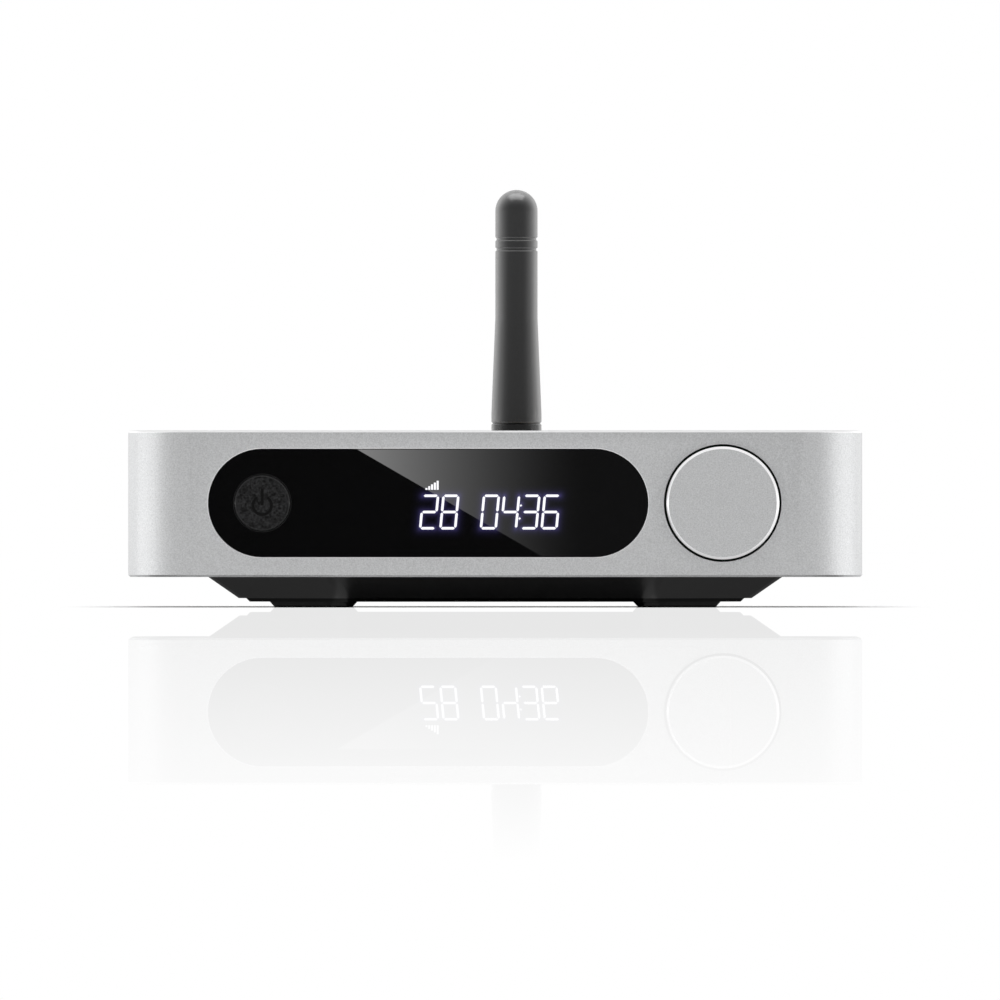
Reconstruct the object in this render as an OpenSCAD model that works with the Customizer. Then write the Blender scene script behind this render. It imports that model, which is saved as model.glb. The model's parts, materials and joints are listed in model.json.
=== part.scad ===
// Compact network music streamer: an aluminium case on a black plinth, with a display
// window, a turn-and-push knob, a power button, rear sockets and a folding aerial.
// Millimetres. +Z is up and the front faces -Y. The origin lies on the table, under the
// middle of the whole object's box.

/* [Case] */
// Width of the aluminium case
case_w = 147; // [146:0.5:154]
// Depth of the case, front face to rear face
case_d = 124; // [122:1:136]
// Height of the case above its plinth
case_h = 29.3; // [29:0.1:33]
// Radius of the four upright corners
corner_r = 13; // [11:0.5:14]
// Thickness of the front and side walls
wall = 2; // [1.8:0.1:2.2]
// Thickness of the rear wall
rear_wall = 3.5; // [3:0.1:4.5]
// Thickness of the top
top_t = 2; // [1.5:0.1:2.2]
// Chamfer along the outer edges of the case
edge_chamfer = 0.4; // [0.2:0.05:0.8]
// Chamfer round the openings in the front
opening_chamfer = 0.2; // [0.1:0.05:0.4]

/* [Base] */
// Height of the plinth's sloping skirt
skirt_h = 4.3; // [3.6:0.1:6]
// Width of the plinth where it meets the case
plinth_w = 115.4; // [108:0.2:118]
// Depth of the plinth where it meets the case
plinth_d = 104; // [100:1:108]
// Length cut off each corner of the plinth, along its sides
plinth_cut = 24.7; // [18:0.1:27]
// How far the skirt runs in from top to bottom
skirt_run = 6.2; // [4:0.1:7]
// Height of the plate under the skirt
plate_h = 0.7; // [0.6:0.1:1.4]
// Ledge between the skirt and the plate
plate_ledge = 1.5; // [1:0.1:2.5]
// Thickness of the base pan's rim and floor
pan_t = 2; // [1.8:0.1:2.4]
// Thickness of the plinth's wall at the foot of its skirt
plinth_wall = 5; // [4.6:0.1:7]
// How far the base pan is sunk into the case
pan_recess = 0.3; // [0.1:0.1:0.6]
// Gap between the base pan and the case walls
pan_gap = 0.2; // [0.1:0.05:0.4]
// Number of ventilation slots in each row
vent_count = 11; // [5:1:13]
// Width of a ventilation slot
vent_w = 1.8; // [1.2:0.1:2.4]
// Length of a ventilation slot
vent_len = 20; // [12:1:24]
// Distance from slot to slot
vent_pitch = 4; // [3.6:0.1:4.2]

/* [Feet] */
// Height of the rubber feet below the base pan
foot_h = 1.1; // [0.8:0.1:3]
// Length of a foot where it meets the base pan
foot_len = 21.5; // [16:0.5:24]
// Width of a foot where it meets the base pan
foot_wid = 8; // [6:0.5:9]
// How far a foot's sides run in towards the table
foot_run = 1; // [0.4:0.1:1.6]
// Depth of the pocket that a foot is glued into
foot_pocket = 0.6; // [0.4:0.1:1]
// Distance of a foot's centre from the side of the plate
foot_from_side = 12.8; // [12:0.1:16]
// Distance of a foot's centre from the front or rear of the plate
foot_from_front = 15.6; // [15:0.1:20]

/* [Front] */
// Height of the controls' centre line above the lower edge of the case
control_h = 14.8; // [14.6:0.1:15]
// Width of the display window
window_w = 88; // [84:0.2:88]
// Height of the display window
window_h = 21.6; // [19:0.2:21.6]
// Centre of the window, right of the case's middle
window_x = -13.4; // [-15:0.2:-13]
// How far the window lies behind the front face
window_recess = 0.4; // [0.1:0.1:0.8]
// Width of the window's hidden flange
window_flange = 1.4; // [1:0.1:1.5]
// Thickness of the window's hidden flange
window_flange_t = 1; // [0.8:0.1:1.4]
// Thickness of the adhesive tape behind the front wall
tape_t = 0.2; // [0.1:0.05:0.3]
// Distance between the window and the knob's hole
window_gap = 3.2; // [2:0.1:6]
// Diameter of the knob
knob_d = 22.6; // [20:0.2:23]
// Gap between the knob and the case
knob_gap = 0.4; // [0.3:0.05:0.6]
// How far the knob stands out of the case
knob_proud = 5; // [4:0.5:9]
// How far the knob reaches into the case
knob_sunk = 3; // [2.5:0.1:3.5]
// Thickness of the knob's front
knob_web_t = 2; // [1.6:0.1:2.4]
// Thickness of the knob's rim
knob_rim_t = 2; // [1.5:0.1:2.4]
// Chamfer round the knob's face
knob_chamfer = 0.5; // [0.3:0.05:0.8]
// How far the knob can be pushed in
knob_push = 0.5; // [0.3:0.1:0.8]
// Diameter of the power button
button_d = 11.2; // [10:0.2:12]
// Gap between the button and the window
button_gap = 0.15; // [0.1:0.05:0.25]
// How far the button stands out of the window
button_proud = 0.4; // [0.2:0.1:0.8]
// Width of the lip that keeps the button behind the window
button_lip = 1; // [0.7:0.1:1.4]
// How far the button can be pushed in
button_travel = 0.6; // [0.3:0.1:0.7]
// Chamfer round the button's face
button_chamfer = 0.3; // [0.2:0.05:0.4]
// Radius of the ring in the engraved power symbol
symbol_r = 1.85; // [1.5:0.05:2.4]
// Width of the symbol's lines
symbol_line = 0.58; // [0.3:0.02:0.6]
// Depth of the symbol's lines
symbol_depth = 0.2; // [0.1:0.05:0.3]

/* [Display and front board] */
// Centre of the display, right of the case's middle
display_x = -1.5; // [-4:0.5:0]
// Width of the display glass
display_w = 56; // [50:1:58]
// Height of the display glass
display_h = 17; // [15:0.5:17.5]
// Thickness of the display glass
display_t = 2.8; // [2:0.1:3.2]
// Width of the display frame's border
frame_border = 2; // [1.5:0.1:2.4]
// Side of the square encoder housing
encoder_side = 12; // [11:0.5:13]
// Depth of the encoder housing
encoder_d = 6.5; // [6.2:0.1:7.5]
// Diameter of the encoder's threaded neck
neck_d = 7; // [6.8:0.1:7.6]
// Diameter of the encoder shaft
shaft_d = 6; // [5.6:0.1:6.2]
// Flat cut from the encoder shaft
shaft_flat = 1.5; // [1:0.1:2]
// Height of the push switch behind the power button
switch_h = 3.5; // [3:0.1:3.8]
// Side of the square push switch
switch_side = 6; // [5.5:0.1:7]
// Diameter of the push switch's stem
stem_d = 3.4; // [3:0.1:3.8]
// Gap above and below the front board
front_board_gap = 0.5; // [0.3:0.1:1]
// Distance of the front board's sides from its screws
front_board_edge = 3.5; // [3:0.1:5]

/* [Main board] */
// Thickness of both circuit boards
board_t = 1.6; // [1.2:0.1:2]
// Gap between the main board and the case's corner posts
board_side_gap = 1.5; // [1:0.1:2.5]
// Depth of the main board
board_d = 84; // [80:1:86]
// Gap under the main board
board_lift = 2.1; // [1.5:0.1:2.4]
// Distance of the board's screws from its sides
board_hole_inset = 5; // [4:0.5:6]
// Side of the heat sink
heatsink_side = 28; // [24:1:32]
// Height of the heat sink's fins
heatsink_h = 8; // [5:0.5:9]
// Number of fins on the heat sink
fin_count = 8; // [5:1:9]

/* [Rear panel and sockets] */
// Gap between the outermost sockets and the opening in the rear wall
panel_end_gap = 1.1; // [0.5:0.1:2]
// Height of the rear panel
panel_h = 21.4; // [21:0.2:22]
// Thickness of the rear panel
panel_t = 1.6; // [1.2:0.1:1.8]
// How far the rear panel lies behind the rear face
panel_recess = 0.4; // [0.2:0.1:0.6]
// Corner radius of the rear panel
panel_r = 3; // [2:0.5:4]
// Gap round the rear panel and round each socket in it
port_gap = 0.2; // [0.1:0.05:0.3]
// Width of the ledge behind the ends of the panel
ledge_x = 5; // [4.4:0.1:5]
// Width of the ledge behind the long sides of the panel
ledge_z = 1.3; // [1:0.1:1.4]
// Distance of the network socket from the aerial
lan_from_aerial = 15.3; // [13.8:0.1:18]
// Distance of the data socket from the network socket
lan_from_usb = 18; // [15.5:0.5:20]
// Distance of the power socket from the data socket
usb_from_dc = 15; // [12:0.5:17]
// Distance of the optical socket from the aerial
optical_from_aerial = 11.9; // [10.4:0.1:14]
// Distance of the first phono socket from the optical socket
optical_from_phono = 10.8; // [10:0.1:12]
// Distance from phono socket to phono socket
phono_pitch = 11; // [10.2:0.1:12]
// Outer diameter of a phono socket's barrel
phono_d = 8.3; // [8:0.1:8.6]
// How far a phono barrel stands out of the panel
phono_out = 8.5; // [7:0.1:9.5]

/* [Aerial] */
// Centre of the aerial, right of the case's middle
aerial_x = 4.3; // [4:0.1:4.4]
// Height of the aerial's socket above the lower edge of the case
aerial_h = 18.9; // [18.4:0.1:19]
// Length of the whip above its neck
whip_len = 47.4; // [35:0.2:90]
// Diameter of the whip at its top
whip_top_d = 8.6; // [7:0.1:9]
// Diameter of the whip at its foot
whip_foot_d = 10.2; // [9:0.1:11]
// Length of the straight part of the whip's foot
whip_foot_len = 2; // [1:0.1:4]
// Length of the whip's taper
taper_len = 19.4; // [15:0.2:30]
// Height of the whip's foot above its hinge
whip_lift = 12.1; // [9:0.1:14]
// Diameter of the whip at its hinge
knuckle_d = 8.6; // [8:0.1:9.2]
// Thickness of the hinge tongue
tongue_t = 4; // [3:0.1:4.4]
// Diameter of the hinge pin
pin_d = 2; // [1.6:0.1:2.4]
// Length of the aerial's swivel barrel
barrel_len = 8; // [6:0.5:12]
// Length of the aerial's coupling nut
coupling_len = 8.5; // [8.2:0.1:10]
// Diameter of the aerial's coupling nut
coupling_d = 9.2; // [8.8:0.1:9.8]

/* [Clearances] */
// Gap between moving parts that only pass each other
pass_gap = 0.3; // [0.25:0.05:0.4]
// Radial clearance of a shaft or pin that turns or slides
run_fit = 0.05; // [0.03:0.01:0.08]
// Radial clearance of a screw or of a part that is pressed in
thread_fit = 0.03; // [0.02:0.01:0.05]

/* [Hidden] */
$fn = 64;
over = 1;          // how far a cutting shape runs past what it cuts
bite = 0.5;        // how far a post is rooted in the wall that carries it
seat_gap = 0.1;    // between parts that are mounted close together
end_gap = 0.2;     // past the end of a part that moves in a hole

// Screw sizes: shank diameter, head diameter, head height
case_screw = [3, 5.6, 1.5];
board_screw = [3, 5.4, 1.8];
small_screw = [2, 3.8, 1.2];

// Levels, from the table up
plate_z = foot_h;
skirt_z = plate_z + plate_h;
case_z = skirt_z + skirt_h;
top_z = case_z + case_h;
rim_z = case_z + pan_recess;
rim_top = rim_z + pan_t;
ceiling_z = top_z - top_t;
board_z = rim_top + board_lift;
board_top = board_z + board_t;
control_z = case_z + control_h;
panel_z = control_z;
aerial_z = case_z + aerial_h;
pan_floor = plate_z + pan_t;

// The collar that joins the skirt to the pan's rim, and leaves a shadow line under the case
collar_root = 0.3;
collar_in = 2 * collar_root * skirt_run / skirt_h;

// Places of the feet, from the middle of the plate
plate_in = skirt_run + plate_ledge + plate_h;
foot_x = plinth_w / 2 - plate_in - foot_from_side;
foot_y = plinth_d / 2 - plate_in - foot_from_front;

// The aerial's parts, by their distance out of the rear panel
washer_t = 0.5;
washer_d = 10.4;
socket_nut_t = 2;
socket_nut_flats = 8;
socket_out = 8;
socket_d = 6.2;
socket_tail_d = 4.8;
coupling_from = washer_t + socket_nut_t + pass_gap;
coupling_to = coupling_from + coupling_len;
collar_d = socket_d - 2 * end_gap;
collar_t = 0.45;
coupling_chamfer = 0.4;
collar_from = socket_out + seat_gap;
lip_from = collar_from + collar_t + end_gap;
aerial_stem_d = 5;
whip_edge = 0.3;
neck_from = whip_foot_d / 2 + pass_gap;    // where the whip's neck starts, above its hinge
groove_w = 0.8;
groove_depth = 0.25;
groove_places = [7.8, 5.7];    // below the start of the round tip
whip_bore_d = 4;
pin_in = 0.6;                  // how far the hinge pin's ends are sunk
aerial_pin_d = 1.2;
aerial_pin_len = 2.6;
barrel_from = coupling_to + pass_gap;
barrel_to = barrel_from + barrel_len;
hinge_gap = pass_gap + seat_gap;
hinge_out = barrel_to + knuckle_d / 2 + hinge_gap;
element_top = whip_lift + whip_len - whip_top_d;
rear_reach = hinge_out - panel_recess + max(whip_foot_d, knuckle_d) / 2;

// Front to back, with the whole box centred on the origin
front_y = (knob_proud - case_d - rear_reach) / 2;
rear_y = front_y + case_d;
case_y = (front_y + rear_y) / 2;
rear_in = rear_y - rear_wall;
panel_out = -panel_recess;
panel_in = -panel_recess - panel_t;
hinge_y = rear_y - panel_recess + hinge_out;

// The case's inside
inner_w = case_w - 2 * wall;
inner_d = case_d - wall - rear_wall;
inner_y = front_y + wall + inner_d / 2;
inner_r = corner_r - wall;
post_d = 7;
post_out = 0.5;    // past the start of the round corner
post_x = case_w / 2 - corner_r + post_out;
post_in = 18;
post_places = [for (x = [-1, 1], y = [front_y + post_in, rear_y - post_in]) [x * post_x, y]];
post_screw_len = 10;

// Parts behind the front, by their depth behind the front face
window_front = window_recess;
flange_front = wall + tape_t;
window_back = flange_front + window_flange_t;
knob_x = window_x + window_w / 2 + window_gap + knob_gap + knob_d / 2;
knob_end_gap = 0.5;
encoder_front = knob_sunk + knob_push + knob_end_gap;
front_board_front = encoder_front + encoder_d;
front_board_back = front_board_front + board_t;
front_board_h = ceiling_z - rim_top - 2 * front_board_gap;
front_board_z = (ceiling_z + rim_top) / 2;
boss_d = 4.8;
boss_out = 2.8;    // past the start of the round corner
boss_in = 3;       // in from the board's upper and lower edges
boss_x = case_w / 2 - corner_r + boss_out;
boss_z = front_board_h / 2 - boss_in;
front_board_w = 2 * (boss_x + front_board_edge);
boss_places = [for (x = [-1, 1], z = [-1, 1]) [x * boss_x, front_board_z + z * boss_z]];
small_screw_len = 6;
neck_front = 1;
hub_wall = 1.8;
hub_d = shaft_d + 2 * hub_wall;
hub_back = neck_front - knob_push - pass_gap;
bore_skin = 1;      // left between the shaft's bore and the knob's face
bore_front = knob_proud - bore_skin;
rotor_d = 9;
rotor_t = 1.2;
encoder_skin = 1.2;
chamber_front = encoder_front + encoder_skin;
rotor_front = chamber_front + end_gap;
chamber_back = rotor_front + rotor_t + knob_push + end_gap;
plunger_d = 5;
plunger_front = rotor_front + rotor_t + seat_gap;
guide_back = front_board_front - bite;
plunger_back = guide_back - knob_push - seat_gap;
button_x = window_x - (window_w - window_h) / 2;
button_front = window_front - button_proud;
button_lip_front = window_back + run_fit;
button_lip_t = 0.8;
button_back = button_lip_front + button_lip_t;
button_post_d = 4;
symbol_gap = 40;    // degrees from the upright line to each end of the ring
symbol_up = 1.8 * symbol_r;
switch_front = front_board_front - switch_h;
stem_front = switch_front - button_travel - 4 * end_gap;
stem_in = 1.6;
stem_back = switch_front + stem_in;
display_front = window_back + pass_gap;
display_back = display_front + display_t;
frame_front = window_back + end_gap;
frame_back_t = 1;

// The main board and what stands on it
board_rear_gap = 0.8;
board_rear = rear_in - board_rear_gap;
board_w = 2 * (post_x - post_d / 2 - board_side_gap);
board_x = board_w / 2 - board_hole_inset;
board_rear_hole = 32;
board_places = [
    for (x = [-1, 1], y = [board_rear_hole, board_d - board_hole_inset]) [x * board_x, board_rear - y]
];
standoff_d = 6.4;
vent_rib = 6;
board_screw_len = 6;
ribbon_w = 12;
ribbon_t = 0.3;
ribbon_rise = 3;
header_w = 15;
header_d = 4;
header_h = 2.6;
header_in = 1;
header_y = board_rear - board_d + header_in;
header_z = board_top + header_h / 2;

// Places on the main board: in from its left side or right of its middle, then in from its rear
board_left = -board_w / 2;
processor_in = 31;
processor_back = 45;
processor_place = [board_left + processor_in, processor_back];
processor_side = 15;
chip_t = 1.4;
heatsink_base = 2;
fin_t = 1.2;
converter_chip = [34, 32, 8];    // each chip's place, then its side
left_amp_chip = [27, 22, 5];
right_amp_chip = [41, 22, 5];
signal_chip = [30, 60, 10];
supply_chip_in = 26;
supply_chip = [board_left + supply_chip_in, 24, 6];
audio_chip_places = [converter_chip, left_amp_chip, right_amp_chip, signal_chip, supply_chip];
small_can = [6.3, 8];
small_can_x = 24;
small_can_back = 42;
small_can_pitch_x = 9;
small_can_pitch_y = 8;
small_can_places = [
    for (i = [0:2], j = [0:1]) [small_can_x + i * small_can_pitch_x, small_can_back + j * small_can_pitch_y]
];
large_can = [8, 11];
large_can_in = 6;
large_can_back = 22;
large_can_pitch = 11;
large_can_places = [for (i = [0:1]) [board_left + large_can_in + i * large_can_pitch, large_can_back]];
inductor_size = [7, 7, 4];
inductor_in = 10;
inductor_back = 40;
inductor_pitch = 9;
inductor_places = [for (i = [0:2]) [board_left + inductor_in, inductor_back + i * inductor_pitch]];
crystal_size = [3.2, 5, 1.1];
crystal_back = 56;
processor_crystal_out = 19;    // right of the processor's middle
audio_crystal_x = 14;
audio_crystal_pitch = 8;
crystal_places = [
    [processor_place[0] + processor_crystal_out, crystal_back], [audio_crystal_x, crystal_back],
    [audio_crystal_x + audio_crystal_pitch, crystal_back]
];
module_t = 2.6;
module_w = 18;
module_d = 22;
lead_d = 1.4;
lead_bend = 5;
lead_run = 7;
plug_h = 1.3;
plug_d = 3;
plug_in_x = 4;
plug_in_y = 16;
socket_inside = 7;
socket_back = panel_in - socket_inside;
lead_y = rear_y + socket_back - lead_run - lead_bend;

// Socket sizes
lan_size = [16, 13.5, 21.3];
lan_cavity = [11.8, 7.2, 12.5];
lan_floor = 2.6;
lan_latch = [6, 1.6];
lan_pitch = 1.02;
lan_contact = [0.44, 0.35];
lan_contact_in = 3;
usb_size = [13.2, 5.7, 14];
usb_skin = 0.35;
usb_back = 4.5;
usb_tongue_size = [11, 1.9];
usb_tongue_in = 0.8;
usb_tongue_down = 1.3;
optical_size = [9.4, 10, 13.5];
optical_hole = 6.2;
optical_depth = 8.4;
optical_axis = 5.2;
shutter_side = 5.9;
shutter_t = 0.8;
shutter_pin_d = 0.8;
shutter_pin_len = 7.4;
shutter_in = 0.6;
phono_axis = 8.4;
phono_block = [9.8, 13.3, 9];
phono_skin = 0.6;
phono_hole_d = 3.3;
phono_seat = 2;
phono_sunk = 0.8;
phono_step = 0.3;
phono_shank_d = phono_d - 2 * phono_step;
phono_chamfer = 0.3;
dc_size = [9, 11, 13];
dc_axis = 6.4;
dc_nose_d = 8.6;
dc_hole_d = 6;
dc_depth = 9.5;
dc_pin_d = 2;
dc_pin_in = 1.2;
nose_out = 0.4;    // how far a socket stands out of the panel
nose = panel_recess - nose_out;
block_front = seat_gap - panel_in;

// Places across the rear panel, right of its middle seen from the front
lan_x = aerial_x - lan_from_aerial;
usb_x = lan_x - lan_from_usb;
dc_x = usb_x - usb_from_dc;
optical_x = aerial_x + optical_from_aerial;
phono_places = [for (i = [0:2]) optical_x + optical_from_phono + i * phono_pitch];
sockets_reach = max(dc_size[0] / 2 - dc_x, phono_places[2] + phono_block[0] / 2);
panel_w = 2 * (sockets_reach + panel_end_gap + ledge_x);
panel_screw_in = 4;
panel_screw_places = [
    for (x = [-1, 1], z = [-1, 1]) [x * (panel_w - ledge_x) / 2, z * (panel_h / 2 - panel_screw_in)]
];

// Turns children to face the front: local +Z comes out of the front face, local +Y is up
module at_front(x, z) translate([x, front_y, z]) rotate([90, 0, 0]) children();

// Turns children to face the rear: local +Z comes out of the rear face, local +Y is up
module at_rear(x, z) translate([x, rear_y, z]) rotate([90, 0, 180]) children();

// Places children on the main board, y being the distance from its rear edge
module on_board(x, y) translate([x, board_rear - y, board_top]) children();

// Draws children from depth a to depth b behind the face that they are turned to
module depth(a, b) translate([0, 0, -b]) linear_extrude(b - a) children();

module rounded_rect(w, d, r) {
    square([w - 2 * r, d], center = true);
    square([w, d - 2 * r], center = true);
    for (x = [-1, 1], y = [-1, 1]) translate([x * (w / 2 - r), y * (d / 2 - r)]) circle(r);
}

module stadium(w, h) {
    square([w - h, h], center = true);
    for (s = [-1, 1]) translate([s * (w - h) / 2, 0]) circle(h / 2);
}

// A stadium whose sides run out by run over a height of rise
module stadium_flare(w, h, run, rise) {
    translate([-(w - h) / 2, 0, 0]) rotate([90, 0, 90]) linear_extrude(w - h)
        polygon([[-h / 2, 0], [h / 2, 0], [h / 2 + run, rise], [-h / 2 - run, rise]]);
    for (s = [-1, 1]) translate([s * (w - h) / 2, 0, 0])
        cylinder(h = rise, r1 = h / 2, r2 = h / 2 + run);
}

// A block with round upright corners and a chamfer along its upper and lower edges
module chamfered_block(w, d, h, r, c) {
    translate([r - w / 2, 0, 0]) rotate([90, 0, 90]) linear_extrude(w - 2 * r) chamfered_side(d, h, c);
    translate([0, d / 2 - r, 0]) rotate([90, 0, 0]) linear_extrude(d - 2 * r) chamfered_side(w, h, c);
    for (x = [-1, 1], y = [-1, 1]) translate([x * (w / 2 - r), y * (d / 2 - r), 0])
        rotate_extrude() polygon([[0, 0], [r - c, 0], [r, c], [r, h - c], [r - c, h], [0, h]]);
}

module chamfered_side(w, h, c) polygon([
    [c - w / 2, 0], [w / 2 - c, 0], [w / 2, c], [w / 2, h - c],
    [w / 2 - c, h], [c - w / 2, h], [-w / 2, h - c], [-w / 2, c]
]);

// An eight-sided block whose walls run in by run towards its lower face, over a height of h.
// Its upper face has the outline, which is a half width, a half depth and a corner cut
module octagon_block(outline, run, h) {
    reach = outline[0] + outline[1];
    across = (reach - outline[2]) / sqrt(2);
    intersection() {
        sloped_bar(outline[0], run, h, 0, reach);
        sloped_bar(outline[1], run, h, 90, reach);
        sloped_bar(across, run, h, 45, reach);
        sloped_bar(across, run, h, -45, reach);
    }
}

module sloped_bar(half, run, h, turn, reach) rotate([0, 0, turn]) translate([0, reach, 0])
    rotate([90, 0, 0]) linear_extrude(2 * reach)
        polygon([[run - half, 0], [half - run, 0], [half, h], [-half, h]]);

module octagon(outline) polygon([
    for (s = [[1, 1], [-1, 1], [-1, -1], [1, -1]], end = s[0] * s[1] > 0 ? [0, 1] : [1, 0])
        [s[0] * (outline[0] - end * outline[2]), s[1] * (outline[1] - (1 - end) * outline[2])]
]);

// The corner cut of an octagon whose sides have all moved in by run
function cut_inside(cut, run) = cut - run * (2 - sqrt(2));

module ring(d_out, d_in, h) difference() {
    cylinder(h = h, d = d_out);
    translate([0, 0, -over]) cylinder(h = h + 2 * over, d = d_in);
}

module cross_recess(width, depth) for (turn = [0, 90]) rotate([0, 0, turn])
    translate([-width / 2, -width / 10, -depth]) cube([width, width / 5, depth + over]);

// A round-headed screw: its head stands above Z 0 and its shank hangs below
module round_screw(screw, len) difference() {
    union() {
        cylinder(h = screw[2], d = screw[1]);
        translate([0, 0, -len]) cylinder(h = len + bite, d = screw[0]);
    }
    translate([0, 0, screw[2]]) cross_recess(screw[1] * 0.6, screw[2] * 0.6);
}

// A flush screw: the flat of its head is at Z 0 and its shank hangs below
module flush_screw(screw, len) difference() {
    union() {
        translate([0, 0, -screw[2]]) cylinder(h = screw[2], d1 = screw[0], d2 = screw[1]);
        translate([0, 0, -len]) cylinder(h = len - screw[2] + bite, d = screw[0]);
    }
    cross_recess(screw[1] * 0.6, screw[2] * 0.6);
}

module case_shell() color("silver") difference() {
    union() {
        difference() {
            translate([0, case_y, case_z]) chamfered_block(case_w, case_d, case_h, corner_r, edge_chamfer);
            translate([0, inner_y, case_z - over]) linear_extrude(case_h - top_t + over)
                rounded_rect(inner_w, inner_d, inner_r);
        }
        for (p = post_places) translate([p[0], p[1], rim_top])
            cylinder(h = ceiling_z - rim_top + bite, d = post_d);
        for (p = boss_places) at_front(p[0], p[1]) depth(wall - bite, front_board_front) circle(d = boss_d);
    }
    at_front(window_x, control_z) {
        depth(-over, wall + over) stadium(window_w, window_h);
        depth(wall, window_back + pass_gap)
            stadium(window_w + 2 * (window_flange + pass_gap), window_h + 2 * (window_flange + pass_gap));
        translate([0, 0, -opening_chamfer])
            stadium_flare(window_w, window_h, opening_chamfer + over, opening_chamfer + over);
    }
    at_front(knob_x, control_z) {
        depth(-over, encoder_front) circle(d = knob_d + 2 * knob_gap);
        translate([0, 0, -opening_chamfer]) cylinder(
            h = opening_chamfer + over,
            d1 = knob_d + 2 * knob_gap, d2 = knob_d + 2 * (knob_gap + opening_chamfer + over));
    }
    at_rear(0, panel_z) {
        depth(-over, -panel_in)
            rounded_rect(panel_w + 2 * port_gap, panel_h + 2 * port_gap, panel_r + port_gap);
        depth(-over, rear_wall + over)
            rounded_rect(panel_w - 2 * ledge_x, panel_h - 2 * ledge_z, panel_r - ledge_z);
        for (p = panel_screw_places) translate([p[0], p[1], 0])
            depth(0, rear_wall + over) circle(d = small_screw[0] + 2 * thread_fit);
    }
    for (p = post_places) translate([p[0], p[1], rim_z])
        cylinder(h = post_screw_len + over, d = case_screw[0] + 2 * thread_fit);
    for (p = boss_places) at_front(p[0], p[1])
        depth(front_board_back - small_screw_len - over / 2, front_board_front + over)
            circle(d = small_screw[0] + 2 * thread_fit);
}

// The plinth's outline after its sides have run in from where it meets the case
function plinth_at(run) = [plinth_w / 2 - run, plinth_d / 2 - run, cut_inside(plinth_cut, run)];

module base_pan() color("#1b1b1c") difference() {
    union() {
        translate([0, inner_y, rim_z]) linear_extrude(pan_t)
            rounded_rect(inner_w - 2 * pan_gap, inner_d - 2 * pan_gap, inner_r - pan_gap);
        translate([0, case_y, skirt_z]) octagon_block(plinth_at(0), skirt_run, skirt_h);
        translate([0, case_y, case_z - collar_root]) linear_extrude(collar_root + pan_recess + bite)
            octagon(plinth_at(collar_in));
        translate([0, case_y, plate_z])
            octagon_block(plinth_at(skirt_run + plate_ledge - bite), plate_h + bite, plate_h + bite);
        for (p = board_places) translate([p[0], p[1], rim_z]) cylinder(h = board_z - rim_z, d = standoff_d);
    }
    difference() {
        translate([0, case_y, pan_floor]) linear_extrude(rim_top - pan_floor + over)
            octagon(plinth_at(skirt_run + plinth_wall));
        for (p = board_places) translate([p[0], p[1], pan_floor - over])
            cylinder(h = board_z - pan_floor + 2 * over, d = standoff_d);
    }
    for (x = [-1, 1], y = [-1, 1]) translate([0, case_y, 0]) foot_place(x, y)
        translate([0, 0, foot_h - over]) linear_extrude(foot_pocket + over)
            stadium(foot_len + 2 * thread_fit, foot_wid + 2 * thread_fit);
    for (i = [0:vent_count - 1], row = [-1, 1]) {
        x = (i - (vent_count - 1) / 2) * vent_pitch;
        translate([x, case_y + row * (vent_len + vent_rib) / 2, plate_z - over])
            linear_extrude(pan_t + 2 * over) rotate(90) stadium(vent_len, vent_w);
    }
    for (p = post_places) translate([p[0], p[1], rim_z]) rotate_extrude() polygon([
        [0, -over], [case_screw[1] / 2 + thread_fit, -over], [case_screw[1] / 2 + thread_fit, 0],
        [case_screw[0] / 2 + thread_fit, case_screw[2]], [case_screw[0] / 2 + thread_fit, pan_t + over],
        [0, pan_t + over]
    ]);
    for (p = board_places) translate([p[0], p[1], board_top - board_screw_len - over / 2])
        cylinder(h = board_screw_len + over, d = board_screw[0] + 2 * thread_fit);
}

// A foot lies along the plinth's cut corner
module foot_place(x, y) translate([x * foot_x, y * foot_y, 0]) rotate([0, 0, -x * y * 45]) children();

module foot(x, y) color("#141414") translate([0, case_y, 0]) foot_place(x, y) {
    stadium_flare(foot_len - 2 * foot_run, foot_wid - 2 * foot_run, foot_run, foot_h);
    translate([0, 0, foot_h]) linear_extrude(foot_pocket) stadium(foot_len, foot_wid);
}

module case_screws() color("#2a2a2a") for (p = post_places) translate([p[0], p[1], rim_z])
    mirror([0, 0, 1]) flush_screw(case_screw, post_screw_len);

// A square cut-out for a socket that stands on the main board
module port_cut(x, size) translate([-x - size[0] / 2 - port_gap, -port_gap])
    square([size[0] + 2 * port_gap, size[1] + 2 * port_gap]);

module rear_panel() color("#1c1c1e") at_rear(0, panel_z) difference() {
    depth(panel_recess, -panel_in) rounded_rect(panel_w, panel_h, panel_r);
    for (p = panel_screw_places) translate([p[0], p[1], 0])
        depth(-over, rear_wall) circle(d = small_screw[0] + 4 * thread_fit);
    translate([0, board_top - panel_z, 0]) depth(-over, rear_wall) {
        port_cut(lan_x, lan_size);
        port_cut(usb_x, usb_size);
        port_cut(optical_x, optical_size);
        for (x = phono_places) translate([-x, phono_axis]) circle(d = phono_shank_d + 2 * port_gap);
        translate([-dc_x, dc_axis]) circle(d = dc_nose_d + 2 * port_gap);
    }
    translate([-aerial_x, aerial_z - panel_z, 0])
        depth(-over, rear_wall) circle(d = socket_d + 2 * thread_fit);
}

module panel_screws() color("#2a2a2a") at_rear(0, panel_z) for (p = panel_screw_places)
    translate([p[0], p[1], panel_out]) round_screw(small_screw, rear_wall - panel_recess);

module display_window() color("#060607") difference() {
    at_front(window_x, control_z) {
        depth(window_front, flange_front + bite)
            stadium(window_w - 2 * thread_fit, window_h - 2 * thread_fit);
        depth(flange_front, window_back) stadium(window_w + 2 * window_flange, window_h + 2 * window_flange);
    }
    at_front(button_x, control_z) depth(-over, window_back + over) circle(d = button_d + 2 * button_gap);
}

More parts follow.
